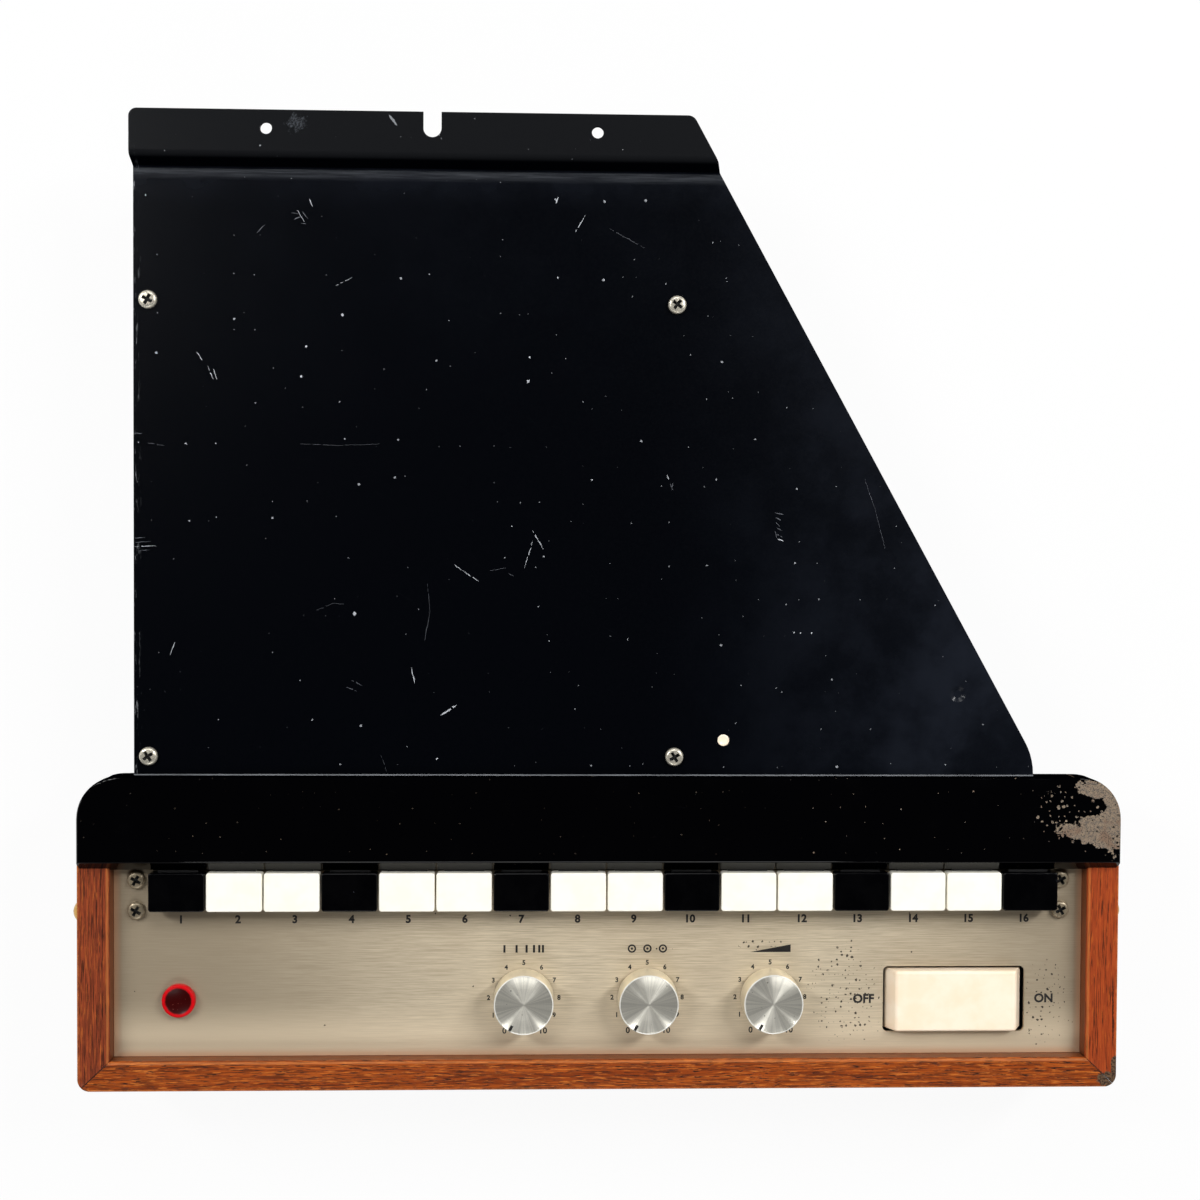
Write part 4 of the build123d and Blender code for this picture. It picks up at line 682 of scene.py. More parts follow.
def turnedFace(centre, seed):
    # spun aluminium: fine rings about the knob's own axis
    constants = {"Metallic": 0.68, "Anisotropic": 0.9, "Anisotropic Rotation": 0.25}
    material, shader, point = newMaterial("spun_aluminium", constants)
    tangent = addField(point.tree, "ShaderNodeTangent", {"direction_type": "RADIAL", "axis": "Z"})
    x, y, radius = aboutCentre(point, centre)
    rings = noise(combined(radius * 9.0, seed), 1.0, 2)
    colour = blend(remap(rings, 0.3, 0.7), rgb(212, 209, 197), rgb(236, 232, 219))
    # painted reflection: faint darker rays, each running right across the face
    twice = calc("ARCTAN2", y, x) * 2.0
    paintedRays = noise(combined(calc("COSINE", twice), calc("SINE", twice), seed), 4.2, 3, 0.7)
    colour = blend(remap(paintedRays, 0.60, 0.40, 0.0, 0.26), colour, rgb(124, 123, 117))
    dust = useGroup(specks, point, Spacing=4.4, Radius=0.22, Share=0.35, Seed=seed)
    colour = blend(dust * 0.7, colour, rgb(110, 104, 92))
    feed(shader, colour=colour, roughness=rings * 0.12 + 0.24, tangent=tangent)
    addBump(shader, rings, 0.12, 0.03)
    return material


# painted light: the rim is bright where light scatters through the lens edge, and the centre dark where light
# passes through into the unlit lamp
lensLook = {"rim": rgb(196, 6, 16), "unlitWell": rgb(50, 0, 0), "wellRadius": 5.05, "dust": rgb(200, 120, 110)}


def redLens():
    look = lensLook
    constants = {"Coat Weight": 0.03, "Coat Roughness": 0.15, "Roughness": 0.38, "Specular IOR Level": 0.12}
    material, shader, point = newMaterial("red_lens", constants)
    radius = aboutCentre(point, lampCentre)[2] + noise(point, 0.8, 3) * 0.5
    # painted shade and light by radius: dark centre, bright rim
    unlitCentre = remap(radius, look["wellRadius"] + 0.55, look["wellRadius"] - 0.25)
    colour = blend(unlitCentre, look["rim"], look["unlitWell"])
    dust = useGroup(specks, point, Spacing=1.8, Radius=0.12, Share=0.4, Seed=2.0)
    feed(shader, colour=blend(dust * 0.5, colour, look["dust"]))
    addBump(shader, noise(point, 1.2, 3), 0.08, 0.05)
    return material


def bulbGlass():
    constants = {"Base Color": rgb(250, 246, 235), "Transmission Weight": 0.9, "IOR": 1.5}
    material, shader, point = newMaterial("bulb_glass", constants)
    feed(shader, roughness=noise(point, 0.5, 3) * 0.12)
    return material


def circuitBoard():
    material, shader, point = newMaterial("board", {"Coat Weight": 0.3, "Coat Roughness": 0.3})
    weave = noise(stretched(point, (2.2, 2.2, 2.2)), 1.0, 2)
    tracks = addField(
        point.tree, "ShaderNodeTexBrick", {"offset": 0.5},
        {"Vector": stretched(point, (0.11, 0.11, 0.11)), "Scale": 1.0, "Mortar Size": 0.06,
         "Color1": rgb(92, 72, 30), "Color2": rgb(84, 66, 30), "Mortar": rgb(150, 104, 46)},
        "Color",
    )
    colour = blend(remap(weave, 0.4, 0.7, 0.0, 0.25), tracks, rgb(60, 46, 22))
    feed(shader, colour=colour, roughness=weave * 0.2 + 0.4)
    addBump(shader, weave, 0.1, 0.05)
    return material


def greyFelt():
    material, shader, point = newMaterial("felt", {"Sheen Weight": 0.4})
    fibres = noise(point, 3.0, 5, 0.75)
    feed(shader, colour=blend(fibres, rgb(58, 62, 60), rgb(112, 116, 110)), roughness=fibres * 0.1 + 0.85)
    addBump(shader, fibres, 0.6, 0.3)
    return material


finishes = [
    deckPaint(), glossPaint(), chassisPaint(), brushedPanel(),
    veneer("cheek", woodInside[0], woodOutside[0], 3.0),
    veneer("rail", -woodInside[1], -woodOutside[1], 11.0),
    plastic("ivory_key", rgb(253, 250, 238), rgb(250, 246, 230), 0.18, 0.35, 0.03, wear=0.1),
    plastic("black_key", rgb(1, 1, 2), rgb(3, 3, 4), 0.12, 0.05, 0.5, rgb(80, 82, 92), shine=0.2),
    plastic("cream_plastic", rgb(252, 236, 213), rgb(250, 229, 201), 0.26, 0.2, 0.02, wear=0.1),
    plastic("black_plastic", rgb(16, 16, 17), rgb(23, 23, 24), 0.34, 0.0, 0.2, rgb(86, 84, 80)),
    plastic("black_rubber", rgb(18, 18, 18), rgb(28, 28, 27), 0.64, 0.0, 0.3, rgb(90, 88, 84)),
    plastic("panel_ink", rgb(16, 14, 14), rgb(26, 23, 22), 0.44, 0.0, 0.0),
    redLens(), bulbGlass(), circuitBoard(), greyFelt(),
    softMetal("nickel", rgb(158, 145, 122), rgb(88, 74, 54), 0.3, 0.5, 0.75, 0.8),
    softMetal("brass", rgb(206, 164, 92), rgb(120, 86, 42), 0.24),
    softMetal("plated_steel", rgb(196, 194, 184), rgb(134, 126, 104), 0.3),
    softMetal("can_aluminium", rgb(214, 214, 212), rgb(160, 160, 158), 0.32),
    softMetal("knob_rim", rgb(240, 239, 232), rgb(222, 219, 208), 0.3, 0.3, 0.3, 0.1),
    softMetal("knob_side", rgb(238, 231, 212), rgb(226, 216, 192), 0.33, 0.75, 0.3, 0.04),
    # painted shade: the screw recesses take near-black metal
    softMetal("screw_recess", rgb(14, 13, 12), rgb(5, 5, 5), 0.6, 0.2),
    softMetal("deck_screw_plate", rgb(224, 218, 202), rgb(146, 134, 110), 0.24, 0.7, 0.5, 0.8),
    softMetal("deck_bare_metal", deckLook["bare"], deckLook["dull"], 0.4, 0.3, 0.5, 0.7),
    softMetal("deck_rub", deckLook["dull"], rgb(48, 50, 56), 0.45, 0.1, 0.6, 0.7),
]
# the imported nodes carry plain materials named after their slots, so a new one may have got a number
surfaces = {made.name.split(".")[0]: made for made in finishes}
print("materials ready:", len(surfaces))


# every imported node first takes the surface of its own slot

for body in nodes.values():
    slots = body.data.materials
    slot = slots[0].name.split(".")[0] if slots else ""
    for index in range(len(slots)):
        slots[index] = surfaces.get(slot, surfaces["black_plastic"])
print("nodes dressed:", len(nodes))


# helpers for new pieces, all drawn in millimetres

def finishPiece(name, bm, body, materials, replaced=None, sharp=30, evened=False):
    bmesh.ops.remove_doubles(bm, verts=bm.verts, dist=0.0005)
    bmesh.ops.recalc_face_normals(bm, faces=bm.faces)
    bmesh.ops.scale(bm, vec=(mm, mm, mm), verts=bm.verts)
    mesh = bpy.data.meshes.new(name)
    bm.to_mesh(mesh)
    bm.free()
    for material in materials:
        mesh.materials.append(surfaces.get(material, material))
    mesh.polygons.foreach_set("use_smooth", [True] * len(mesh.polygons))
    mesh.set_sharp_from_angle(angle=radians(sharp))
    piece = bpy.data.objects.new(name, mesh)
    bpy.context.scene.collection.objects.link(piece)
    if evened:
        piece.modifiers.new("even_shading", "WEIGHTED_NORMAL").keep_sharp = True
    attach(piece, body)
    if replaced:
        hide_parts(replaced)


def pick(geometry, kind):
    return [item for item in geometry if isinstance(item, kind)]


def turnVerts(bm, verts, angle, axis):
    bmesh.ops.rotate(bm, cent=(0, 0, 0), matrix=Matrix.Rotation(angle, 3, axis), verts=verts)


def drawOut(bm, face, offset):
    grown = bmesh.ops.extrude_face_region(bm, geom=[face])["geom"]
    bmesh.ops.translate(bm, vec=offset, verts=pick(grown, BMVert))


def addPrism(bm, points, offset, index=0):
    # a flat outline drawn out into a solid
    outline = bm.faces.new([bm.verts.new(point) for point in points])
    outline.material_index = index
    drawOut(bm, outline, offset)


def addBlock(bm, low, high):
    centre = [(a + b) / 2 for a, b in zip(low, high)]
    size = [b - a for a, b in zip(low, high)]
    matrix = Matrix.Translation(centre) @ Matrix.Diagonal((*size, 1))
    return bmesh.ops.create_cube(bm, size=1, matrix=matrix)["verts"]


def roundEdges(bm, edges, width, segments=3):
    bmesh.ops.bevel(
        bm, geom=list(edges), offset=width, offset_type="OFFSET", segments=segments,
        profile=0.5, affect="EDGES", material=-1, clamp_overlap=True,
    )


def edgesOf(verts):
    own = set(verts)
    return {edge for vert in verts for edge in vert.link_edges if set(edge.verts) <= own}


def spinProfile(bm, points, centre, axis="Z", steps=64):
    # points are radius and height along the axis
    before = set(bm.verts)
    verts = [bm.verts.new((radius, 0, height)) for radius, height in points]
    edges = [bm.edges.new(pair) for pair in zip(verts, verts[1:])]
    bmesh.ops.spin(
        bm, geom=verts + edges, cent=(0, 0, 0), axis=(0, 0, 1), angle=2 * pi,
        steps=steps, use_merge=True, use_duplicate=False,
    )
    turned = [vert for vert in bm.verts if vert not in before]
    if axis == "X":
        turnVerts(bm, turned, pi / 2, "Y")
    elif axis == "Y":
        turnVerts(bm, turned, -pi / 2, "X")
    bmesh.ops.translate(bm, vec=centre, verts=turned)


# wooden surround

woodShape = {"step": 3.0, "dent": 0.09, "dentDepth": 2.0}


def woodRail(name, node, finish, lengthAxis, seed):
    low, high, _ = boxOf(node)
    bm = bmesh.new()
    bm.from_mesh(nodes[node].data)
    bmesh.ops.scale(bm, vec=(1 / mm, 1 / mm, 1 / mm), verts=bm.verts)
    bmesh.ops.remove_doubles(bm, verts=bm.verts, dist=0.001)
    bmesh.ops.dissolve_limit(bm, angle_limit=radians(1), verts=bm.verts, edges=bm.edges)
    bmesh.ops.triangulate(bm, faces=[face for face in bm.faces if len(face.verts) > 4])
    # cut across the grain every few millimetres, so that the edges can be worn unevenly
    normal = [0, 0, 0]
    normal[lengthAxis] = 1
    position = low[lengthAxis] + woodShape["step"]
    while position < high[lengthAxis] - 1:
        spot = [part * position for part in normal]
        geometry = bm.verts[:] + bm.edges[:] + bm.faces[:]
        bmesh.ops.bisect_plane(bm, geom=geometry, plane_co=spot, plane_no=normal, dist=0.001)
        position += woodShape["step"]
    dice = Random(seed)
    for vert in bm.verts:
        if vert.co.z > high.z - woodShape["dentDepth"]:
            vert.co.z -= dice.uniform(0, woodShape["dent"])
    finishPiece(name, bm, "case", [finish], node, sharp=40, evened=True)


woodRail("rail_front", "front_rail", "rail_veneer", 0, 4)
woodRail("cheek_left", "left_cheek", "cheek_veneer", 1, 5)
woodRail("cheek_right", "right_cheek", "cheek_veneer", 1, 6)
print("wooden surround ready")


# rhythm keys

keyShape = {
    "count": 16, "blackEvery": 3, "capLength": 14.5, "capHeight": 5.4, "corner": 1.0, "edge": 0.55,
    "shankInset": 2.85, "shankTop": 4.3, "shankHeight": 2.5, "shankLap": 3.0, "leverRound": 0.25,
    "hubRadius": 3.2, "hubBore": 1.55, "hubInset": 1.55, "hubLap": 2.4, "hubChamfer": 0.2,
    "tailHalf": 4.0, "tailLength": 7.0, "tailHalfHeight": 1.0,
    "lugHalf": 0.9, "lugFront": 12.0, "lugHalfLength": 1.5, "lugDrop": 12.0, "lugSink": 1.0,
}
keyNodes = [f"key_{number:02d}" for number in range(1, keyShape["count"] + 1)]
pivotY, pivotZ = boxOf("key_pivot_rod")[2].yz


def rhythmKey(node, slot):
    shape = keyShape
    low, high, middle = boxOf(node)
    bm = bmesh.new()
    capBack = low.y + shape["capLength"]
    cap = addBlock(bm, (low.x, low.y, high.z - shape["capHeight"]), (high.x, capBack, high.z))
    upright = [edge for edge in edgesOf(cap) if abs(edge.verts[0].co.z - edge.verts[1].co.z) > 1]
    roundEdges(bm, upright, shape["corner"], 4)
    rim = [edge for edge in bm.edges if min(vert.co.z for vert in edge.verts) > high.z - 0.01]
    roundEdges(bm, rim, shape["edge"], 3)
    # lever back to the hub, tail behind it and a lug below
    shankTop = high.z - shape["shankTop"]
    lugY = pivotY - shape["lugFront"]
    lever = addBlock(
        bm, (low.x + shape["shankInset"], capBack - shape["shankLap"], shankTop - shape["shankHeight"]),
        (high.x - shape["shankInset"], pivotY - shape["hubLap"], shankTop),
    )
    tail = addBlock(
        bm, (middle.x - shape["tailHalf"], pivotY + shape["hubLap"], pivotZ - shape["tailHalfHeight"]),
        (middle.x + shape["tailHalf"], pivotY + shape["tailLength"], pivotZ + shape["tailHalfHeight"]),
    )
    lug = addBlock(
        bm, (middle.x - shape["lugHalf"], lugY - shape["lugHalfLength"], pivotZ - shape["lugDrop"]),
        (middle.x + shape["lugHalf"], lugY + shape["lugHalfLength"], shankTop - shape["lugSink"]),
    )
    blocks = {*lever, *tail, *lug}
    inCap = {face for vert in bm.verts if vert not in blocks for face in vert.link_faces}
    roundEdges(bm, edgesOf(lever) | edgesOf(tail) | edgesOf(lug), shape["leverRound"], 2)
    half = (high.x - low.x) / 2 - shape["hubInset"]
    bore, hub, chamfer = shape["hubBore"], shape["hubRadius"], shape["hubChamfer"]
    ring = [
        (bore, -half), (hub - chamfer, -half), (hub, -half + chamfer),
        (hub, half - chamfer), (hub - chamfer, half), (bore, half), (bore, -half),
    ]
    spinProfile(bm, ring, (middle.x, pivotY, pivotZ), "X", 24)
    for face in bm.faces:
        face.material_index = 0 if face in inCap else 1
    finishPiece(f"rhythm_{node}", bm, node, [slot, "black_plastic"], node, sharp=35, evened=True)


for index, node in enumerate(keyNodes):
    rhythmKey(node, "ivory_key" if index % keyShape["blackEvery"] else "black_key")
print("keys ready:", len(keyNodes))


# knobs

knobShape = {
    "names": ["tempo", "cymbal", "volume"], "faceRadius": 11.15, "rim": 0.5, "dish": 0.3, "edge": 0.25,
    "recessRadius": 7.6, "recess": 4.4, "bore": 3.02, "socket": 9.3,
    "markInner": 8.75, "markWidth": 1.1, "markDepth": 0.7, "markAngle": 241.0,
}


def knob(name, seed):
    shape = knobShape
    node = f"{name}_knob"
    low, high, centre = boxOf(node)
    skirt = (high.x - low.x) / 2
    face, edge = shape["faceRadius"], shape["edge"]
    top, dish = high.z, high.z - shape["dish"]
    inner = face - shape["rim"]
    profile = [
        (0, dish), (inner * 0.5, dish), (inner - 0.12, dish), (inner - 0.03, dish + 0.05),
        (inner, top - 0.08), (inner + 0.08, top), (face - edge, top),
        (face - 0.07, top - 0.07), (face, top - edge), (skirt - 0.08, low.z + 4.0),
        (skirt, low.z + 0.25), (skirt - 0.2, low.z), (shape["recessRadius"], low.z),
        (shape["recessRadius"], low.z + shape["recess"]), (shape["bore"], low.z + shape["recess"]),
        (shape["bore"], low.z + shape["socket"]), (0, low.z + shape["socket"]),
    ]
    bm = bmesh.new()
    spinProfile(bm, profile, (centre.x, centre.y, 0), "Z", 96)
    for polygon in bm.faces:
        spot = polygon.calc_center_median()
        reach = hypot(spot.x - centre.x, spot.y - centre.y)
        onSide = spot.z < top - edge - 0.01 and reach > face * 0.97
        polygon.material_index = 1 if onSide else 2 if reach > inner + 0.05 and spot.z > dish else 0
    turned = [turnedFace(centre, seed), "knob_side", "knob_rim"]
    finishPiece(f"{name}_dial_knob", bm, node, turned, node)
    # black filled index slot, stepping over the rim
    mark = bmesh.new()
    start, width, foot = shape["markInner"], shape["markWidth"], top - shape["markDepth"]
    steps = [
        (start, dish - 0.1), (inner - 0.15, dish - 0.1), (inner - 0.15, foot),
        (face + 0.03, foot), (face + 0.03, top - 0.24), (face - 0.2, top),
        (inner + 0.02, top), (inner - 0.1, dish + 0.03), (start, dish + 0.03),
    ]
    addPrism(mark, [(reach, -width / 2, level) for reach, level in steps], (0, width, 0))
    turnVerts(mark, mark.verts, radians(shape["markAngle"]), "Z")
    bmesh.ops.translate(mark, vec=(centre.x, centre.y, 0), verts=mark.verts)
    finishPiece(f"{name}_index_mark", mark, node, ["panel_ink"], sharp=35, evened=True)


for index, name in enumerate(knobShape["names"]):
    knob(name, 3.0 + 7.0 * index)
print("knobs ready")


# start rocker

rockerShape = {
    "width": 23.2, "faceHalf": 23.0, "faceRise": 9.5, "waistHalf": 26.3, "waistRise": 2.5, "skirt": 3.0,
    "wall": 2.2, "crown": 0.4, "round": 1.1, "pivotDrop": 5.0, "pinRadius": 2.0, "pinReach": 3.4,
    "nib": 8.0, "nibHalf": (2, 5), "nibSink": 3.2, "nibRound": 0.4,
}


def startRocker():
    shape = rockerShape
    housing = boxOf("rocker_housing")[2]
    halfWide = shape["width"] / 2
    faceHalf, faceRise = shape["faceHalf"], shape["faceRise"]
    waistHalf, waistRise, skirt = shape["waistHalf"], shape["waistRise"], shape["skirt"]
    outline = [
        (-waistHalf, -skirt), (-waistHalf, waistRise), (-faceHalf, faceRise),
        (faceHalf, faceRise), (waistHalf, waistRise), (waistHalf, -skirt),
    ]
    bm = bmesh.new()
    addPrism(bm, [(x, -halfWide, z) for x, z in outline], (0, shape["width"], 0))
    bmesh.ops.recalc_face_normals(bm, faces=bm.faces)
    bottom = min(bm.faces, key=lambda face: face.calc_center_median().z)
    bmesh.ops.inset_region(bm, faces=[bottom], thickness=shape["wall"], use_even_offset=True)
    drawOut(bm, bottom, (0, 0, skirt + waistRise - shape["crown"]))
    bmesh.ops.delete(bm, geom=[bottom], context="FACES")
    upper, ends, waist = [], [], []
    for edge in bm.edges:
        heights = [vert.co.z for vert in edge.verts]
        if min(heights) > faceRise - 0.01:
            upper.append(edge)
        elif max(heights) > faceRise - 0.01:
            ends.append(edge)
        elif all(abs(vert.co.z - waistRise) < 0.01 and abs(vert.co.x) > faceHalf for vert in edge.verts):
            waist.append(edge)
    roundEdges(bm, upper + ends + waist, shape["round"], 4)
    nibX, nibY = shape["nibHalf"]
    nib = addBlock(bm, (-nibX, -nibY, -shape["nib"]), (nibX, nibY, faceRise - shape["nibSink"]))
    roundEdges(bm, edgesOf(nib), shape["nibRound"], 2)
    reach, radius = halfWide + shape["pinReach"], shape["pinRadius"]
    spinProfile(bm, [(0, -reach), (radius, -reach), (radius, reach), (0, reach)], (0, 0, 0), "Y", 24)
    bmesh.ops.translate(bm, vec=(housing.x, housing.y, panelTop - shape["pivotDrop"]), verts=bm.verts)
    slot = "cream_plastic"
    finishPiece("start_stop_rocker", bm, "start_rocker", [slot], "start_rocker", sharp=35, evened=True)


startRocker()
print("rocker ready")


# lamp lens

def lampLens():
    low, top = lampLow.z, lampHigh.z
    outer = (lampHigh.x - lampLow.x) / 2
    profile = [
        (0, top - 0.9), (2.2, top - 0.82), (4.2, top - 0.5), (4.9, top - 0.16), (5.2, top - 0.02),
        (5.5, top), (outer - 0.35, top - 0.04), (outer - 0.1, top - 0.22), (outer, top - 0.6),
        (outer, panelTop + 0.15), (outer - 0.1, panelTop + 0.02), (5.2, panelTop + 0.02), (5.2, low),
        (3.9, low), (3.9, panelTop - 1.5), (0, panelTop - 1.5),
    ]
    bm = bmesh.new()
    spinProfile(bm, profile, (lampCentre.x, lampCentre.y, 0))
    finishPiece("pilot_lens", bm, "case", ["red_lens"], "lamp_lens", sharp=50, evened=True)


lampLens()


# cross-recess screws

screwShape = {
    "radius": 3.4, "land": 0.72, "arm": 2.0, "slot": 0.58, "recess": 1.3, "taper": 0.5,
    "shank": 1.75, "length": 7.0, "turns": (0.45, 1.1),
    # radius and height of the domed head, as shares of its radius and rise
    "dome": [(0.84, 0.93), (0.93, 0.78), (0.985, 0.58), (1.0, 0.36), (1.0, 0.06), (0.98, 0.0)],
}


def crossScrew(bm, spot, turn):
    shape = screwShape
    before = set(bm.verts)
    radius = shape["radius"] * shape["land"]
    land = bmesh.ops.create_circle(bm, cap_ends=False, radius=radius, segments=32)["verts"]
    bmesh.ops.translate(bm, vec=(0, 0, screwRise), verts=land)
    ring = list(edgesOf(land))
    arm, slot = shape["arm"], shape["slot"]
    cross = []
    for quarter in range(4):
        spinTurn = Matrix.Rotation(quarter * pi / 2, 3, "Z")
        for x, y in ((slot, slot), (slot, arm), (-slot, arm)):
            cross.append(bm.verts.new(spinTurn @ Vector((x, y, screwRise))))
    crossEdges = [bm.edges.new(pair) for pair in zip(cross, cross[1:] + cross[:1])]
    bmesh.ops.triangle_fill(bm, use_beauty=True, use_dissolve=False, edges=ring + crossEdges)
    inner = [face for face in bm.faces if set(face.verts) <= set(cross)]
    bmesh.ops.delete(bm, geom=inner, context="FACES_ONLY")
    grown = bmesh.ops.extrude_edge_only(bm, edges=crossEdges)["geom"]
    floorVerts, floorEdges = pick(grown, BMVert), pick(grown, BMEdge)
    bmesh.ops.scale(bm, vec=(shape["taper"], shape["taper"], 1), verts=floorVerts)
    bmesh.ops.translate(bm, vec=(0, 0, -shape["recess"]), verts=floorVerts)
    recess = bmesh.ops.holes_fill(bm, edges=floorEdges, sides=len(floorEdges))["faces"]
    # painted shade: the recess walls and floor take the near-black second material
    for face in recess + pick(grown, BMFace):
        face.material_index = 1
    # the dome down from the land, then the shank
    steps = [(shape["radius"] * share, screwRise * level) for share, level in shape["dome"]]
    for reach, level in steps + [(shape["shank"], 0), (shape["shank"], -shape["length"])]:
        grown = bmesh.ops.extrude_edge_only(bm, edges=ring)["geom"]
        verts, ring = pick(grown, BMVert), pick(grown, BMEdge)
        bmesh.ops.scale(bm, vec=(reach / radius, reach / radius, 1), verts=verts)
        for vert in verts:
            vert.co.z = level
        radius = reach
    bmesh.ops.holes_fill(bm, edges=ring, sides=len(ring))
    own = [vert for vert in bm.verts if vert not in before]
    turnVerts(bm, own, turn, "Z")
    bmesh.ops.translate(bm, vec=spot, verts=own)


def fourScrews(name, node, seat, finish, seed):
    dice = Random(seed)
    low, high, _ = boxOf(node)
    radius = screwShape["radius"]
    bm = bmesh.new()
    for x in (low.x + radius, high.x - radius):
        for y in (low.y + radius, high.y - radius):
            crossScrew(bm, (x, y, seat), dice.uniform(*screwShape["turns"]))
    finishPiece(name, bm, "case", [finish, "screw_recess"], node, sharp=40)


fourScrews("panel_cross_screws", "panel_screws", panelTop, "nickel", 2)
fourScrews("deck_cross_screws", "cover_screws", deckTop, "deck_screw_plate", 8)


# scratches and chips in the deck's paint, as flat slivers of bare or dull metal

markShape = {
    "lift": 0.004, "thick": 0.012, "step": 0.9, "gap": 0.14, "narrowest": 0.03, "sway": 0.12,
    "dullBelow": 0.55, "chipCorners": 15,
}


def addMark(bm, points, index):
    level = deckTop + markShape["lift"]
    addPrism(bm, [(x, y, level) for x, y in points], (0, 0, markShape["thick"]), index)


def deckScratch(bm, dice, x0, y0, x1, y1, width, index):
    # a run of slivers with gaps, thinning out at both ends
    shape = markShape
    length = hypot(x1 - x0, y1 - y0)
    steps = max(3, round(length / shape["step"]))
    alongX, alongY = (x1 - x0) / length, (y1 - y0) / length
    left, right = [], []
    for step in range(steps + 1):
        share = step / steps
        half = max(shape["narrowest"], width * 0.42 * (1 - abs(2 * share - 1) ** 3) * dice.uniform(0.35, 1.0))
        sway = dice.uniform(-shape["sway"], shape["sway"])
        x = x0 + (x1 - x0) * share - alongY * sway
        y = y0 + (y1 - y0) * share + alongX * sway
        left.append((x - alongY * half, y + alongX * half))
        right.append((x + alongY * half, y - alongX * half))
        broken = dice.random() < shape["gap"]
        if len(left) > 1 and (broken or step == steps):
            addMark(bm, right + left[::-1], index)
            left, right = [], []


def deckMarks():
    dice = Random(21)
    bm = bmesh.new()
    for x0, y0, x1, y1, width, strength in deckLook["scratches"]:
        deckScratch(bm, dice, x0, y0, x1, y1, width, 0 if strength > markShape["dullBelow"] else 1)
    count = markShape["chipCorners"]
    for x, y, radius in deckLook["chips"]:
        points = []
        for corner in range(count):
            reach, angle = radius * dice.uniform(0.45, 1.0), 2 * pi * corner / count
            points.append((x + reach * cos(angle), y + reach * sin(angle)))
        addMark(bm, points, 0)
    finishPiece("deck_paint_marks", bm, "case", ["deck_bare_metal", "deck_rub"])


deckMarks()


# eyelet in the deck

def eyeletPiece():
    low, high, centre = boxOf("eyelet")
    top, seat = high.z, high.z - 0.48
    profile = [
        (0, top - 0.35), (0.9, top - 0.3), (1.4, top - 0.12), (1.65, top), (1.92, top - 0.02),
        (2.12, top - 0.18), (2.2, seat), (1.9, seat), (1.9, low.z), (0, low.z),
    ]
    bm = bmesh.new()
    spinProfile(bm, profile, (centre.x, centre.y, 0), "Z", 40)
    slot = "cream_plastic"
    finishPiece("deck_eyelet", bm, "case", [slot], "eyelet", sharp=60, evened=True)


eyeletPiece()
print("lamp, screws and eyelet ready")


# coil springs under the key tails and at the latch bar

springShape = {"wire": 0.2, "turns": 7, "stepsPerTurn": 16, "sides": 6}


def coil(bm, centre, axis, radius, start, end):
    shape = springShape
    wire = shape["wire"]
    before = set(bm.verts)
    steps = shape["turns"] * shape["stepsPerTurn"]
    section = bmesh.ops.create_circle(bm, cap_ends=True, radius=wire, segments=shape["sides"])["verts"]
    turnVerts(bm, section, pi / 2, "X")
    bmesh.ops.translate(bm, vec=(radius - wire, 0, 0), verts=section)
    faces = [face for face in bm.faces if set(face.verts) <= set(section)]
    rise = (end - start - 2 * wire) / steps
    bmesh.ops.spin(
        bm, geom=faces, cent=(0, 0, 0), axis=(0, 0, 1), dvec=(0, 0, rise),
        angle=2 * pi * shape["turns"], steps=steps, use_merge=False, use_duplicate=False,
    )
    own = [vert for vert in bm.verts if vert not in before]
    bmesh.ops.translate(bm, vec=(0, 0, start + wire), verts=own)
    if axis == "X":
        turnVerts(bm, own, pi / 2, "Y")
    bmesh.ops.translate(bm, vec=centre, verts=own)


def finishSpring(name, bm, node):
    finishPiece(name, bm, "case", ["plated_steel"], node, sharp=60)


def springs():
    low, high, centre = boxOf("key_springs")
    radius = (high.y - low.y) / 2
    first, last = low.x + radius, high.x - radius
    bm = bmesh.new()
    for index in range(keyShape["count"]):
        x = first + (last - first) * index / (keyShape["count"] - 1)
        coil(bm, (x, centre.y, 0), "Z", radius, low.z, high.z)
    finishSpring("key_return_coils", bm, "key_springs")
    low, high, centre = boxOf("latch_spring")
    bm = bmesh.new()
    coil(bm, (0, centre.y, centre.z), "X", (high.y - low.y) / 2, low.x, high.x)
    finishSpring("latch_return_coil", bm, "latch_spring")


springs()
print("springs ready")


# printed numbers and signs on the panel

printShape = {
    "level": panelTop + 0.004, "height": 0.02, "keyRow": 63.1, "keySize": 4.1, "bold": 0.17,
    # radius, size and boldness of the digits round a knob, and of the 0 and 10 at the ends
    "digits": (13.35, 2.5, 0.09), "ends": (14.6, 3.2, 0.08),
    "signRise": 18.7, "signHalf": (7.8, 1.45), "bars": (0, 4.6, 8.4, 11.2, 13.2, 14.6), "barWidth": 0.8,
    "ringStep": 5.9, "rings": [(1.6, 1.0), (0.45, 0.01)],
    "rockerSize": 4.6, "rockerWords": [("OFF", -34.7), ("ON", 34.8)],
}


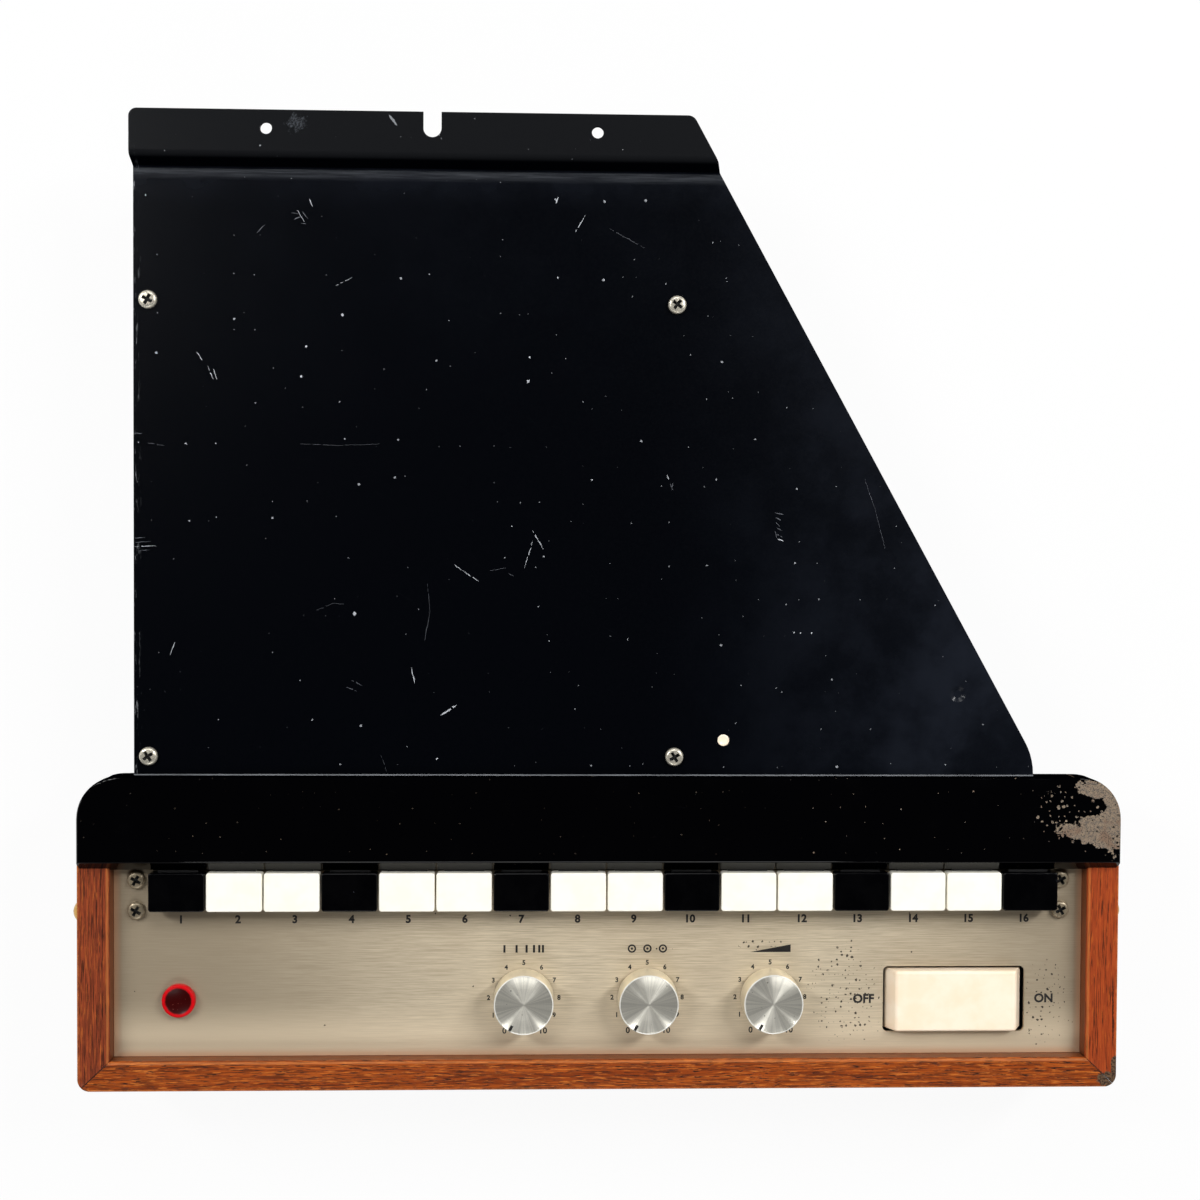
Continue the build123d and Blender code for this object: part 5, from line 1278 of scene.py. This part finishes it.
def printText(bm, text, x, y, size, bold):
    curve = bpy.data.curves.new("print", "FONT")
    curve.body = text
    curve.size = size
    curve.align_x = "CENTER"
    curve.align_y = "CENTER"
    curve.offset = bold
    curve.extrude = printShape["height"] / 2
    curve.resolution_u = 3
    writer = bpy.data.objects.new("print", curve)
    mesh = bpy.data.meshes.new_from_object(writer)
    mesh.transform(Matrix.Translation((x, y, printShape["level"] + printShape["height"] / 2)))
    bm.from_mesh(mesh)
    bpy.data.objects.remove(writer)
    bpy.data.meshes.remove(mesh)


def printDial(bm, x, y):
    for digit in (1, 2, 3, 4, 5, 6, 7, 8, 9, 0, 10):
        reach, size, bold = printShape["ends" if digit in (0, 10) else "digits"]
        angle = radians(240 - 30 * digit)
        printText(bm, str(digit), x + reach * cos(angle), y + reach * sin(angle), size, bold)


def printSign(bm, name, x, y):
    # beats that come faster, cymbals, or a wedge that grows
    level, height = printShape["level"], printShape["height"]
    half, rise = printShape["signHalf"]
    if name == "tempo":
        for gap in printShape["bars"]:
            start = x - half + gap
            addBlock(bm, (start, y - rise, level), (start + printShape["barWidth"], y + rise, level + height))
    elif name == "cymbal":
        for side in (-1, 0, 1):
            for outer, inner in printShape["rings"]:
                profile = [(inner, 0), (outer, 0), (outer, height), (inner, height), (inner, 0)]
                spinProfile(bm, profile, (x + side * printShape["ringStep"], y, level), "Z", 32)
    else:
        wedge = [(x - half, y - rise, level), (x + half, y - rise, level), (x + half, y + rise, level)]
        addPrism(bm, wedge, (0, 0, height))


def printing():
    shape = printShape
    numbers, dials, signs = bmesh.new(), bmesh.new(), bmesh.new()
    keyRow = railLow.y + shape["keyRow"]
    for number, node in enumerate(keyNodes, 1):
        printText(numbers, str(number), boxOf(node)[2].x, keyRow, shape["keySize"], shape["bold"])
    for name in knobShape["names"]:
        x, y, _ = boxOf(f"{name}_knob")[2]
        printDial(dials, x, y)
        printSign(signs, name, x, y + shape["signRise"])
    x, y, _ = boxOf("rocker_housing")[2]
    for word, aside in shape["rockerWords"]:
        printText(signs, word, x + aside, y, shape["rockerSize"], shape["bold"])
    for name, bm in (("key_numbers", numbers), ("dial_numbers", dials), ("panel_signs", signs)):
        finishPiece(name, bm, "case", ["panel_ink"])


printing()
print("printing ready")
